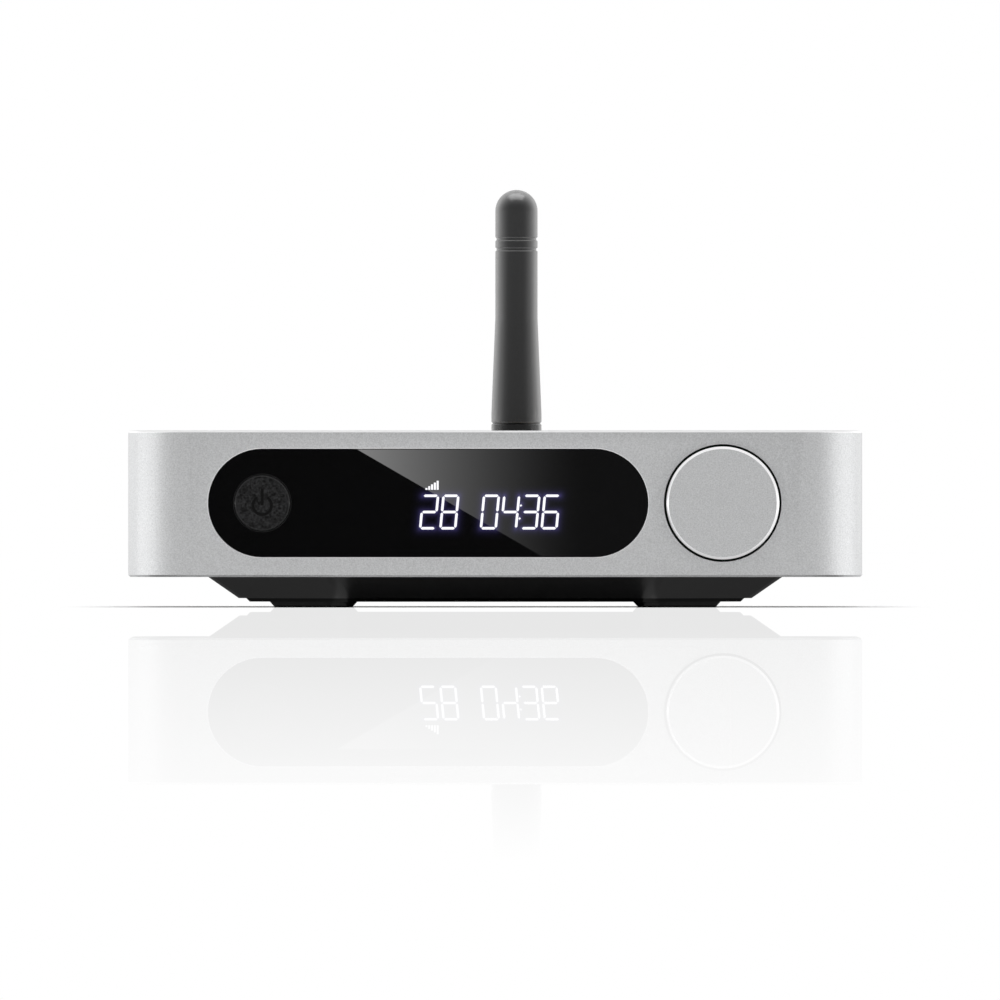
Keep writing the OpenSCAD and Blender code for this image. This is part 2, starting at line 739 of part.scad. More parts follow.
module window_tape() color("#303030") at_front(window_x, control_z) depth(wall, flange_front) difference() {
    stadium(window_w + 2 * window_flange, window_h + 2 * window_flange);
    stadium(window_w, window_h);
}

module display_frame() color("#e8e8e4") at_front(display_x, control_z) difference() {
    depth(frame_front, front_board_front)
        square([display_w, display_h] + 2 * [frame_border, frame_border], center = true);
    depth(frame_front - over, display_back)
        square([display_w, display_h] + 2 * [run_fit, run_fit], center = true);
    depth(frame_front, front_board_front - frame_back_t)
        square([display_w, display_h] - 2 * [frame_border, frame_border], center = true);
}

module display_glass() color("#101418") at_front(display_x, control_z) depth(display_front, display_back)
    square([display_w, display_h], center = true);

module front_board() color("#14351f") difference() {
    at_front(0, front_board_z) depth(front_board_front, front_board_back)
        square([front_board_w, front_board_h], center = true);
    for (p = boss_places) at_front(p[0], p[1])
        depth(front_board_front - over, front_board_back + over) circle(d = small_screw[0] + 4 * thread_fit);
}

module front_board_screws() color("#8a8a8c") for (p = boss_places)
    translate([p[0], front_y + front_board_back, p[1]]) rotate([-90, 0, 0])
        round_screw(small_screw, small_screw_len);

module encoder_housing() color("#9a9b9d") at_front(knob_x, control_z) difference() {
    union() {
        depth(encoder_front, front_board_front) square(encoder_side, center = true);
        depth(neck_front, encoder_front + bite) circle(d = neck_d);
    }
    depth(-over, chamber_front + bite) circle(d = shaft_d + 2 * run_fit);
    depth(chamber_front, chamber_back) circle(d = rotor_d + 2 * pass_gap);
    depth(chamber_back - bite, guide_back) circle(d = plunger_d + 2 * run_fit);
}

module encoder_plunger() color("#d8d4c8") at_front(knob_x, control_z)
    depth(plunger_front, plunger_back) circle(d = plunger_d);

// The shaft's outline, with the flat that keeps the knob from slipping
module shaft_outline(fit) difference() {
    circle(d = shaft_d + 2 * fit);
    translate([-shaft_d, shaft_d / 2 - shaft_flat + fit]) square(2 * shaft_d);
}

module encoder_shaft() color("#b9babc") at_front(knob_x, control_z) {
    depth(end_gap - bore_front, hub_back) shaft_outline(0);
    depth(hub_back, rotor_front) circle(d = shaft_d);
}

module encoder_rotor() color("#c9a54a") at_front(knob_x, control_z)
    depth(rotor_front, rotor_front + rotor_t) circle(d = rotor_d);

module volume_knob() color("silver") at_front(knob_x, control_z) difference() {
    rotate_extrude() polygon([
        [0, knob_proud], [knob_d / 2 - knob_chamfer, knob_proud], [knob_d / 2, knob_proud - knob_chamfer],
        [knob_d / 2, -knob_sunk], [knob_d / 2 - knob_rim_t, -knob_sunk],
        [knob_d / 2 - knob_rim_t, knob_proud - knob_web_t], [hub_d / 2, knob_proud - knob_web_t],
        [hub_d / 2, -hub_back], [0, -hub_back]
    ]);
    depth(-bore_front, hub_back + over) shaft_outline(thread_fit);
}

// The standard power symbol: a broken ring with an upright line in the gap
module power_symbol() {
    rotate([0, 0, 90 + symbol_gap]) rotate_extrude(angle = 360 - 2 * symbol_gap) translate([symbol_r, 0])
        square([symbol_line, 2 * symbol_depth], center = true);
    for (side = [-1, 1]) rotate([0, 0, 90 + side * symbol_gap]) translate([symbol_r, 0, -symbol_depth])
        cylinder(h = 2 * symbol_depth, d = symbol_line);
    translate([-symbol_line / 2, 0, -symbol_depth]) cube([symbol_line, symbol_up, 2 * symbol_depth]);
}

module power_button() color("#252526") at_front(button_x, control_z) difference() {
    union() {
        translate([0, 0, -button_lip_front - bite]) cylinder(
            h = button_lip_front + bite - button_front - button_chamfer, d = button_d);
        translate([0, 0, -button_front - button_chamfer])
            cylinder(h = button_chamfer, d1 = button_d, d2 = button_d - 2 * button_chamfer);
        depth(button_lip_front, button_back) circle(d = button_d + 2 * button_lip);
        depth(button_back - bite, stem_front) circle(d = button_post_d);
    }
    translate([0, -symbol_r / 4, -button_front]) power_symbol();
}

module push_switch() color("#3a3a3c") at_front(button_x, control_z) difference() {
    depth(switch_front, front_board_front) square(switch_side, center = true);
    depth(switch_front - over, stem_back + button_travel + 2 * end_gap) circle(d = stem_d + 2 * run_fit);
}

module push_switch_stem() color("#161616") at_front(button_x, control_z)
    depth(stem_front, stem_back) circle(d = stem_d);

module main_board() color("#14351f") difference() {
    translate([-board_w / 2, board_rear - board_d, board_z]) cube([board_w, board_d, board_t]);
    for (p = board_places) translate([p[0], p[1], board_z - over])
        cylinder(h = board_t + 2 * over, d = board_screw[0] + 4 * thread_fit);
}

module main_board_screws() color("#8a8a8c") for (p = board_places) translate([p[0], p[1], board_top])
    round_screw(board_screw, board_screw_len);

// A square-cornered part that stands on the main board, centred on its place
module board_block(place, size) on_board(place[0], place[1])
    translate([-size[0] / 2, -size[1] / 2, 0]) cube(size);

module processor() color("#202022") board_block(processor_place, [processor_side, processor_side, chip_t]);

module heat_sink() color("#3c3d40") on_board(processor_place[0], processor_place[1])
    translate([-heatsink_side / 2, -heatsink_side / 2, chip_t]) {
        cube([heatsink_side, heatsink_side, heatsink_base]);
        for (i = [0:fin_count - 1]) translate([i * (heatsink_side - fin_t) / (fin_count - 1), 0, 0])
            cube([fin_t, heatsink_side, heatsink_base + heatsink_h]);
    }

module wireless_module() color("#b4b5b8")
    translate([aerial_x - plug_in_x, lead_y - plug_in_y, board_top]) cube([module_w, module_d, module_t]);

module audio_chips() color("#202022") for (c = audio_chip_places) board_block(c, [c[2], c[2], chip_t]);

module capacitors() color("#26324a") {
    for (p = small_can_places) on_board(p[0], p[1]) cylinder(h = small_can[1], d = small_can[0]);
    for (p = large_can_places) on_board(p[0], p[1]) cylinder(h = large_can[1], d = large_can[0]);
}

module inductors() color("#4a4a4c") for (p = inductor_places) board_block(p, inductor_size);

module crystals() color("#c4c6c9") for (p = crystal_places) board_block(p, crystal_size);

module ribbon_connectors() color("#d9d6cc") for (y = [front_y + front_board_back, header_y])
    translate([-header_w / 2, y, board_top]) cube([header_w, header_d, header_h]);

// The flat cable rises between its two connectors in one arc
module ribbon_cable() {
    from = front_y + front_board_back + header_d;
    span = header_y - from;
    arc_r = (span * span / 4 + ribbon_rise * ribbon_rise) / (2 * ribbon_rise);
    half = asin(span / 2 / arc_r);
    color("#e4e2da") translate([-ribbon_w / 2, from + span / 2, header_z + ribbon_rise - arc_r])
        rotate([90, 0, 90]) rotate([0, 0, 90 - half]) rotate_extrude(angle = 2 * half)
            translate([arc_r - ribbon_t, 0]) square([ribbon_t, ribbon_w]);
}

// Draws a rectangle that stands on the main board, in by inset on every side
module on_its_base(size, inset) translate([inset - size[0] / 2, inset])
    square([size[0] - 2 * inset, size[1] - 2 * inset]);

module lan_socket() color("#b9bbbe") at_rear(lan_x, board_top) difference() {
    depth(nose, nose + lan_size[2]) on_its_base(lan_size, 0);
    depth(nose - over, nose + lan_cavity[2]) {
        translate([-lan_cavity[0] / 2, lan_floor]) square([lan_cavity[0], lan_cavity[1]]);
        translate([-lan_latch[0] / 2, lan_floor - lan_latch[1]]) square([lan_latch[0], lan_latch[1] + bite]);
    }
}

module lan_contacts() color("#d6b25e") at_rear(lan_x, board_top) for (i = [0:7])
    translate([(i - 3.5) * lan_pitch - lan_contact[0] / 2, lan_floor + lan_cavity[1] - lan_contact[1], 0])
        depth(nose + lan_contact_in, nose + lan_cavity[2]) square(lan_contact);

module usb_socket() color("#c2c4c7") at_rear(usb_x, board_top) difference() {
    depth(nose, nose + usb_size[2]) on_its_base(usb_size, 0);
    depth(nose - over, nose + usb_size[2] - usb_skin) on_its_base(usb_size, usb_skin);
}

module usb_tongue() color("#eceae4") at_rear(usb_x, board_top) {
    back = nose + usb_size[2] - usb_skin;
    depth(back - usb_back, back) on_its_base(usb_size, usb_skin + thread_fit);
    depth(nose + usb_tongue_in, back - usb_back + bite)
        translate([-usb_tongue_size[0] / 2, usb_size[1] - usb_tongue_down - usb_tongue_size[1]])
            square(usb_tongue_size);
}

module optical_socket() color("#1d1d1f") at_rear(optical_x, board_top) difference() {
    depth(nose, nose + optical_size[2]) on_its_base(optical_size, 0);
    depth(nose - over, nose + optical_depth) translate([0, optical_axis]) square(optical_hole, center = true);
    optical_hinge_place() cylinder(
        h = shutter_pin_len + 2 * run_fit, d = shutter_pin_d + 2 * run_fit, center = true);
}

// Puts children on the shutter's hinge line, which runs along their local Z
module optical_hinge_place() translate([
    0, optical_axis + shutter_side / 2 - shutter_t / 2 - run_fit, -nose - shutter_in - shutter_t / 2
]) rotate([0, 90, 0]) children();

module optical_shutter() color("#2b2b2d") at_rear(optical_x, board_top) {
    optical_hinge_place() {
        cylinder(h = shutter_side, d = shutter_t, center = true);
        cylinder(h = shutter_pin_len, d = shutter_pin_d, center = true);
        translate([-shutter_t / 2, -shutter_side + shutter_t / 2 + run_fit, -shutter_side / 2])
            cube([shutter_t, shutter_side - shutter_t / 2 - run_fit, shutter_side]);
    }
}

module phono_blocks() color("#1d1d1f") for (x = phono_places) at_rear(x, board_top) difference() {
    depth(block_front, block_front + phono_block[2]) on_its_base(phono_block, 0);
    translate([0, phono_axis, 0])
        depth(block_front - over, block_front + phono_seat) circle(d = phono_shank_d + 2 * thread_fit);
}

// Each barrel is seated with its shoulder on the panel and its shank in the block
module phono_barrels() color("#c9a958") for (x = phono_places) at_rear(x, board_top + phono_axis) {
    inner = phono_d / 2 - phono_skin;
    tip = panel_out + phono_out;
    end = -block_front - phono_seat;
    rotate_extrude() polygon([
        [inner, end], [phono_shank_d / 2, end], [phono_shank_d / 2, panel_out], [phono_d / 2, panel_out],
        [phono_d / 2, tip - phono_chamfer], [phono_d / 2 - phono_chamfer, tip], [inner, tip]
    ]);
}

module phono_insulator(i) at_rear(phono_places[i], board_top + phono_axis) difference() {
    depth(panel_recess - phono_out + phono_sunk, block_front + phono_seat)
        circle(d = phono_d - 2 * (phono_skin + thread_fit));
    depth(panel_recess - phono_out, panel_recess + bite) circle(d = phono_hole_d);
}

module dc_socket() color("#1d1d1f") at_rear(dc_x, board_top) difference() {
    union() {
        depth(block_front, block_front + dc_size[2]) on_its_base(dc_size, 0);
        depth(nose, block_front + bite) translate([0, dc_axis]) circle(d = dc_nose_d);
    }
    depth(nose - over, dc_depth) translate([0, dc_axis]) circle(d = dc_hole_d);
}

module dc_pin() color("#c9cbce") at_rear(dc_x, board_top) depth(nose + dc_pin_in, dc_depth)
    translate([0, dc_axis]) circle(d = dc_pin_d);

// Turns children to the aerial's socket, with Z 0 on the outer face of the rear panel
module at_aerial() at_rear(aerial_x, aerial_z) translate([0, 0, panel_out]) children();

module aerial_socket() color("#d2ab52") at_aerial() difference() {
    union() {
        translate([0, 0, -panel_t - socket_nut_t])
            cylinder(h = socket_nut_t, d = socket_nut_flats / cos(30), $fn = 6);
        translate([0, 0, -panel_t - bite]) cylinder(h = panel_t + bite + socket_out, d = socket_d);
        translate([0, 0, socket_back - panel_out]) cylinder(h = socket_inside, d = socket_tail_d);
    }
    translate([0, 0, socket_out - aerial_pin_len - over])
        cylinder(h = aerial_pin_len + 2 * over, d = aerial_pin_d + 2 * pass_gap);
}

module aerial_socket_washer() color("#c7b06c") at_aerial()
    ring(washer_d, socket_d + 2 * thread_fit, washer_t);

module aerial_socket_nut() color("#d2ab52") at_aerial() translate([0, 0, washer_t]) difference() {
    cylinder(h = socket_nut_t, d = socket_nut_flats / cos(30), $fn = 6);
    translate([0, 0, -over]) cylinder(h = socket_nut_t + 2 * over, d = socket_d + 2 * thread_fit);
}

// The lead runs forward from the socket, bends down and ends over the wireless module
module aerial_lead() color("#2c2c2e") translate([aerial_x, lead_y, aerial_z]) {
    bottom = board_top + module_t + plug_h;
    translate([0, lead_bend, 0]) rotate([-90, 0, 0]) cylinder(h = lead_run, d = lead_d);
    translate([0, lead_bend, -lead_bend]) rotate([0, -90, 0]) rotate([0, 0, -90]) rotate_extrude(angle = 90)
        translate([lead_bend, 0]) circle(d = lead_d);
    translate([0, 0, bottom - aerial_z]) cylinder(h = aerial_z - lead_bend - bottom, d = lead_d);
}

module aerial_lead_plug() color("#d2ab52") translate([aerial_x, lead_y, board_top + module_t])
    cylinder(h = plug_h, d = plug_d);

module aerial_coupling_nut() color("#c7a452") at_aerial() difference() {
    c = coupling_chamfer;
    translate([0, 0, coupling_from]) rotate_extrude() polygon([
        [0, 0], [coupling_d / 2 - c, 0], [coupling_d / 2, c], [coupling_d / 2, coupling_len - c],
        [coupling_d / 2 - c, coupling_len], [0, coupling_len]
    ]);
    translate([0, 0, coupling_from - over])
        cylinder(h = lip_from - coupling_from + over, d = socket_d + 2 * thread_fit);
    translate([0, 0, coupling_from]) cylinder(h = coupling_len + over, d = aerial_stem_d + 2 * run_fit);
}

module aerial_barrel() color("#2a2b2d") at_aerial() difference() {
    union() {
        translate([0, 0, collar_from]) cylinder(h = collar_t, d = collar_d);
        translate([0, 0, collar_from]) cylinder(h = barrel_from - collar_from + bite, d = aerial_stem_d);
        translate([0, 0, barrel_from]) cylinder(h = barrel_len, d = whip_foot_d);
        translate([-tongue_t / 2, -knuckle_d / 2, barrel_to - bite])
            cube([tongue_t, knuckle_d, hinge_out - barrel_to + bite]);
        translate([0, 0, hinge_out]) rotate([0, 90, 0]) cylinder(h = tongue_t, d = knuckle_d, center = true);
        translate([0, 0, collar_from - aerial_pin_len])
            cylinder(h = aerial_pin_len + collar_t, d = aerial_pin_d);
    }
    translate([0, 0, hinge_out]) rotate([0, 90, 0])
        cylinder(h = tongue_t + 2 * over, d = pin_d + 2 * run_fit, center = true);
}

// Puts children at the aerial's hinge, upright
module at_hinge() translate([aerial_x, hinge_y, aerial_z]) children();

// The whip's outline, turned about its axis: a neck, a parting groove, a tapered foot, two narrow
// grooves and a straight top
module whip_outline() {
    foot_r = whip_foot_d / 2;
    top_r = whip_top_d / 2;
    taper_from = whip_lift + whip_foot_len;
    dome_z = whip_lift + whip_len - top_r;
    groove_outline = [
        [0, -groove_w / 2], [-groove_depth, -groove_w / 4], [-groove_depth, groove_w / 4], [0, groove_w / 2]
    ];
    polygon(concat(
        [[0, neck_from], [foot_r, neck_from], [foot_r, whip_lift - whip_edge]],
        [[foot_r - whip_edge, whip_lift], [foot_r, whip_lift + whip_edge], [foot_r, taper_from]],
        [[top_r, taper_from + taper_len]],
        [for (down = groove_places, p = groove_outline) [top_r, dome_z - down] + p],
        [[top_r, dome_z], [0, dome_z]]
    ));
}

module aerial_whip() color("#333436") at_hinge() difference() {
    union() {
        rotate_extrude() whip_outline();
        translate([0, 0, whip_lift + whip_len - whip_top_d / 2]) sphere(d = whip_top_d);
        intersection() {
            translate([0, 0, -knuckle_d / 2]) cylinder(h = neck_from + knuckle_d / 2 + bite, d = knuckle_d);
            union() {
                rotate([0, 90, 0]) cylinder(h = 2 * knuckle_d, d = knuckle_d, center = true);
                translate([-knuckle_d, -knuckle_d, 0]) cube([2 * knuckle_d, 2 * knuckle_d, neck_from + over]);
            }
        }
    }
    translate([-tongue_t / 2 - pass_gap / 2, -knuckle_d, -knuckle_d])
        cube([tongue_t + pass_gap, 2 * knuckle_d, 1.5 * knuckle_d + pass_gap]);
    rotate([0, 90, 0]) cylinder(h = 2 * knuckle_d, d = pin_d + 2 * thread_fit, center = true);
    translate([0, 0, knuckle_d / 2]) cylinder(h = element_top - knuckle_d / 2, d = whip_bore_d);
}

module aerial_hinge_pin() color("#b0b2b5") at_hinge() rotate([0, 90, 0])
    cylinder(h = knuckle_d - 2 * pin_in, d = pin_d, center = true);

module aerial_element() color("#c98a4b") at_hinge() translate([0, 0, knuckle_d / 2 + pass_gap])
    cylinder(h = element_top - knuckle_d / 2 - pass_gap, d = whip_bore_d - 2 * thread_fit);

case_shell();
base_pan();
foot(-1, -1);  // foot_front_left
foot(1, -1);  // foot_front_right
foot(-1, 1);  // foot_rear_left
foot(1, 1);  // foot_rear_right
case_screws();
rear_panel();
panel_screws();
display_window();
window_tape();
display_frame();
display_glass();
front_board();
front_board_screws();
encoder_housing();
encoder_plunger();
encoder_shaft();
encoder_rotor();
volume_knob();
power_button();
push_switch();
push_switch_stem();
main_board();
main_board_screws();
processor();
heat_sink();
wireless_module();
audio_chips();
capacitors();
inductors();
crystals();
ribbon_connectors();
ribbon_cable();
lan_socket();
lan_contacts();
usb_socket();
usb_tongue();
optical_socket();
optical_shutter();
phono_blocks();
phono_barrels();
color("#d8742a") phono_insulator(0);  // coaxial_insulator
color("#f0efe9") phono_insulator(1);  // left_insulator
color("#c0282c") phono_insulator(2);  // right_insulator
dc_socket();
dc_pin();
aerial_socket();
aerial_socket_washer();
aerial_socket_nut();
aerial_lead();
aerial_lead_plug();
aerial_coupling_nut();
aerial_barrel();
aerial_whip();
aerial_hinge_pin();
aerial_element();
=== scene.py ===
# %% [markdown]
# # A compact network music streamer
# The CAD solids already have the right sizes, so this lesson only dresses them: it gives every
# solid a finish, adds the fine details that a designer would leave to the surface, and lights the
# whole as a product photographer would. Everything is in metres, in the frame of the CAD model.

# %% Load the frame
import json
import math

import bmesh
import bpy
from mathutils import Matrix, Vector


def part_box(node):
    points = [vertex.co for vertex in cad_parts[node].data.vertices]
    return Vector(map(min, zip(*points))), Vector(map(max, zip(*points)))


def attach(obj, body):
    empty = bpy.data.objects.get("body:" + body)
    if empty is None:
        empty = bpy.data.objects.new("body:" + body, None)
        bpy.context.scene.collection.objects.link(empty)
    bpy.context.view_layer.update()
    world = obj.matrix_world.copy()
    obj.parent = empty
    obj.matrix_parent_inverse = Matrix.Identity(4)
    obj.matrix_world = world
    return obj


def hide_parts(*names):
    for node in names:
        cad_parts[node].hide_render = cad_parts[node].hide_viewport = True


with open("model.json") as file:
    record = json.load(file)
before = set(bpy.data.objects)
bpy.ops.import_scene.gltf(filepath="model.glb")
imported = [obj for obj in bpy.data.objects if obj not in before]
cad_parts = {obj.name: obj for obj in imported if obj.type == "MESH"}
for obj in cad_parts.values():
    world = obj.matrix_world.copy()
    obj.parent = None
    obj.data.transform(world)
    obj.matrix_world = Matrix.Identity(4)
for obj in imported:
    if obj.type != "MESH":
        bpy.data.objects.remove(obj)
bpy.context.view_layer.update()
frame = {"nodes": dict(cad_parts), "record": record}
nodes = frame["nodes"]
MM = 0.001

# %% [markdown]
# ## Where things are
# Every place comes from the boxes of the solids. The front faces -Y. The window's front face, the
# knob's axis and the button's axis are the three places that most of the details hang on.

# %% Measure the solids
case_low, case_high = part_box("case_shell")
window_low, window_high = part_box("display_window")
knob_low, knob_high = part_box("volume_knob")
lan_low, lan_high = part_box("lan_socket")
nut_low, nut_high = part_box("aerial_coupling_nut")
button_low, button_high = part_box("power_button")
whip_low, whip_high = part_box("aerial_whip")
front_y = case_low.y
window_face_y = window_low.y
knob_x = (knob_low.x + knob_high.x) / 2
control_z = (knob_low.z + knob_high.z) / 2
knob_r = (knob_high.x - knob_low.x) / 2
print("front", front_y, "window face", window_face_y, "knob", knob_x, control_z, knob_r)

# %% [markdown]
# ## The camera
# The picture was taken from far away with a long lens, dead level, so there is next to no
# perspective: the aerial at the back is drawn nearly to the same scale as the front. A long lens
# more than nine metres away does the same. The middle of the picture lies a little right of the
# case's middle and a little below the middle of the whole object.

# %% Set up the camera
VIEW_X = 0.96 * MM
VIEW_Z = 21.5 * MM
VIEW_W = 0.2
VIEW_DISTANCE = 9.4
camera_data = bpy.data.cameras.new("product_camera")
camera_data.sensor_width = 36
camera_data.lens = camera_data.sensor_width * VIEW_DISTANCE / VIEW_W
camera_data.clip_end = 4 * VIEW_DISTANCE
camera = bpy.data.objects.new("product_camera", camera_data)
camera.location = (VIEW_X, front_y - VIEW_DISTANCE, VIEW_Z)
camera.rotation_euler = (math.pi / 2, 0, 0)
scene = bpy.context.scene
scene.collection.objects.link(camera)
scene.camera = camera
scene.view_settings.view_transform = "Standard"
print("camera", tuple(camera.location))

# %% [markdown]
# ## One shader group for all fine grain
# Bead-blasted metal, moulded plastic and rubber all break up the light in grains much smaller than
# a millimetre. They differ in the size and the strength of the grain only, so one group serves
# them all. It puts out a grain for the relief, a speckle for the colour, and a slow cloud
# for the small differences in polish that any large surface has.

# %% Build the grain group
def add_socket(tree, name, kind, value=None, way="INPUT"):
    """Adds a named socket to a node group, with its starting value."""
    socket = tree.interface.new_socket(name, in_out=way, socket_type=kind)
    if value is not None:
        socket.default_value = value
    return socket


def make_grain_group():
    tree = bpy.data.node_groups.new("surface_grain", "ShaderNodeTree")
    add_socket(tree, "Grain Size", "NodeSocketFloat", 0.3 * MM)
    add_socket(tree, "Cloud Size", "NodeSocketFloat", 20 * MM)
    for name in ("Grain", "Speckle", "Cloud"):
        add_socket(tree, name, "NodeSocketFloat", way="OUTPUT")
    links = tree.links
    group_in = tree.nodes.new("NodeGroupInput")
    group_out = tree.nodes.new("NodeGroupOutput")
    place = tree.nodes.new("ShaderNodeTexCoord")
    layers = (("Grain", "Grain Size", 2), ("Speckle", "Grain Size", 1), ("Cloud", "Cloud Size", 3))
    for output, size, detail in layers:
        scale = tree.nodes.new("ShaderNodeMath")
        scale.operation = "DIVIDE"
        scale.inputs[0].default_value = 1
        links.new(group_in.outputs[size], scale.inputs[1])
        noise = tree.nodes.new("ShaderNodeTexNoise")
        noise.noise_dimensions = "4D"
        noise.inputs["W"].default_value = len(output)
        noise.inputs["Detail"].default_value = detail
        links.new(place.outputs["Object"], noise.inputs["Vector"])
        links.new(scale.outputs[0], noise.inputs["Scale"])
        links.new(noise.outputs["Fac"], group_out.inputs[output])
    return tree


grain_group = make_grain_group()
print("group", grain_group.name)

# %% [markdown]
# ## Finishes
# A finish is one Principled shader. Its colour is spread a little by the speckle, its polish by the
# cloud, and its relief comes from the grain through a Bump node. The numbers are what tells one
# material from another: metals have Metallic 1, rubber is rough, glossy plastic is smooth.

# %% Define a finish
def finish(name, colour, roughness, metallic=0.0, grain=0.3, relief=0.1, spread=0.05, polish=0.05,
           contrast=1.0, **sockets):
    """A material with fine grain. Grain is its size and relief its height, both in millimetres.

    Spread and polish say how far colour and roughness vary, and contrast sharpens the speckle.
    """
    material = bpy.data.materials.new(name)
    material.use_nodes = True
    tree = material.node_tree
    shader = tree.nodes["Principled BSDF"]
    shader.inputs["Metallic"].default_value = metallic
    for socket, value in sockets.items():
        shader.inputs[socket.replace("_", " ")].default_value = value
    group = tree.nodes.new("ShaderNodeGroup")
    group.node_tree = grain_group
    group.inputs["Grain Size"].default_value = grain * MM
    tone = tree.nodes.new("ShaderNodeMix")
    tone.data_type = "RGBA"
    tone.inputs["A"].default_value = [c * (1 - spread) for c in colour] + [1]
    tone.inputs["B"].default_value = [min(c * (1 + spread), 1) for c in colour] + [1]
    speckle = tree.nodes.new("ShaderNodeMapRange")
    speckle.inputs["From Min"].default_value = 0.5 - 0.5 / contrast
    speckle.inputs["From Max"].default_value = 0.5 + 0.5 / contrast
    tree.links.new(group.outputs["Speckle"], speckle.inputs["Value"])
    tree.links.new(speckle.outputs["Result"], tone.inputs["Factor"])
    tree.links.new(tone.outputs["Result"], shader.inputs["Base Color"])
    shader.inputs["Roughness"].default_value = roughness
    if polish:
        rough = tree.nodes.new("ShaderNodeMapRange")
        rough.inputs["To Min"].default_value = max(roughness - polish, 0)
        rough.inputs["To Max"].default_value = roughness + polish
        tree.links.new(group.outputs["Cloud"], rough.inputs["Value"])
        tree.links.new(rough.outputs["Result"], shader.inputs["Roughness"])
    if relief:
        bump = tree.nodes.new("ShaderNodeBump")
        bump.inputs["Distance"].default_value = relief * MM
        tree.links.new(group.outputs["Grain"], bump.inputs["Height"])
        tree.links.new(bump.outputs["Normal"], shader.inputs["Normal"])
    return material


print("finish ready")

# %% [markdown]
# ## The finishes of this object
# The case and the knob are aluminium, blasted with fine beads and then anodised, which leaves an
# even silver grey with a soft sheen. The base is a black moulding with a fine spark texture. The
# window is dyed acrylic, polished like glass. Inside are boards, plated steel and plastic.

# %% Make one finish for each slot
GREY_ALUMINIUM = (0.58, 0.585, 0.59)
FINISHES = {
    "case_aluminium": dict(colour=GREY_ALUMINIUM, roughness=0.38, metallic=0.9, grain=0.26,
                           relief=0.012, spread=0.3, polish=0.02),
    "knob_aluminium": dict(colour=GREY_ALUMINIUM, roughness=0.38, metallic=0.9, grain=0.26,
                           relief=0.012, spread=0.3, polish=0.02),
    "base_black": dict(colour=(0.014, 0.014, 0.0145), roughness=0.42, grain=0.25, relief=0.015,
                       spread=0.3, Specular_IOR_Level=0.4),
    "foot_rubber": dict(colour=(0.008, 0.008, 0.008), roughness=0.75, grain=0.4, relief=0.03, spread=0.3),
    "black_screw_steel": dict(colour=(0.03, 0.03, 0.032), roughness=0.35, metallic=0.6,
                              grain=0.2, relief=0.005),
    "inner_screw_steel": dict(colour=(0.55, 0.55, 0.56), roughness=0.3, metallic=1,
                              grain=0.2, relief=0.004),
    "panel_black": dict(colour=(0.014, 0.014, 0.015), roughness=0.55, grain=0.25, relief=0.02, spread=0.3),
    "window_black": dict(colour=(0.0038, 0.0038, 0.004), roughness=0, relief=0, spread=0.1, polish=0),
    "tape_black": dict(colour=(0.02, 0.02, 0.02), roughness=0.8),
    "frame_white": dict(colour=(0.75, 0.75, 0.72), roughness=0.5, relief=0.01, spread=0.03),
    "display_glass": dict(colour=(0.01, 0.012, 0.016), roughness=0.05, relief=0),
    "board_green": dict(colour=(0.012, 0.06, 0.025), roughness=0.35, grain=0.6, relief=0.02, spread=0.15),
    "plated_steel": dict(colour=(0.6, 0.6, 0.61), roughness=0.28, metallic=1, grain=0.25,
                         relief=0.004, spread=0.06),
    "encoder_plastic": dict(colour=(0.65, 0.62, 0.55), roughness=0.5, relief=0.01),
    "shaft_steel": dict(colour=(0.55, 0.55, 0.56), roughness=0.3, metallic=1, grain=0.2, relief=0.004),
    "rotor_brass": dict(colour=(0.65, 0.45, 0.14), roughness=0.3, metallic=1, grain=0.2, relief=0.004),
    "button_black": dict(colour=(0.013, 0.013, 0.0135), roughness=0.55, grain=0.45, relief=0.08,
                         spread=1, contrast=3, Specular_IOR_Level=0.12),
    "switch_black": dict(colour=(0.02, 0.02, 0.021), roughness=0.5),
    "chip_black": dict(colour=(0.02, 0.02, 0.022), roughness=0.6, grain=0.15, relief=0.01),
    "heat_sink_black": dict(colour=(0.03, 0.03, 0.032), roughness=0.5, metallic=0.5,
                            grain=0.2, relief=0.01),
    "capacitor_sleeve": dict(colour=(0.02, 0.035, 0.1), roughness=0.3, relief=0.005),
    "ribbon_white": dict(colour=(0.75, 0.74, 0.7), roughness=0.45, grain=0.4, relief=0.01, spread=0.03),
    "contact_gold": dict(colour=(0.83, 0.58, 0.22), roughness=0.22, metallic=1, grain=0.25,
                         relief=0.003, spread=0.06),
    "socket_black": dict(colour=(0.016, 0.016, 0.017), roughness=0.45, grain=0.25,
                         relief=0.012, spread=0.2),
    "shutter_black": dict(colour=(0.028, 0.028, 0.03), roughness=0.5, grain=0.25, relief=0.01),
    "insulator_orange": dict(colour=(0.68, 0.17, 0.025), roughness=0.4, relief=0.006),
    "insulator_white": dict(colour=(0.8, 0.79, 0.75), roughness=0.4, relief=0.006, spread=0.03),
    "insulator_red": dict(colour=(0.5, 0.018, 0.02), roughness=0.4, relief=0.006),
    "lead_black": dict(colour=(0.02, 0.02, 0.021), roughness=0.5, relief=0.01),
    "aerial_black": dict(colour=(0.012, 0.0122, 0.0126), roughness=0.3, relief=0.012, spread=0.15),
    "element_copper": dict(colour=(0.75, 0.32, 0.16), roughness=0.3, metallic=1, grain=0.2, relief=0.004),
}
finishes = {name: finish(name, **values) for name, values in FINISHES.items()}
slot_of = {}
for name, node in nodes.items():
    slot_of[name] = node.data.materials[0].name.split(".")[0]
    node.material_slots[0].material = finishes[slot_of[name]]
body_of = {name: body for body, names in frame["record"]["behaviour"]["bodies"].items() for name in names}
print(len(finishes), "finishes on", len(nodes), "solids")

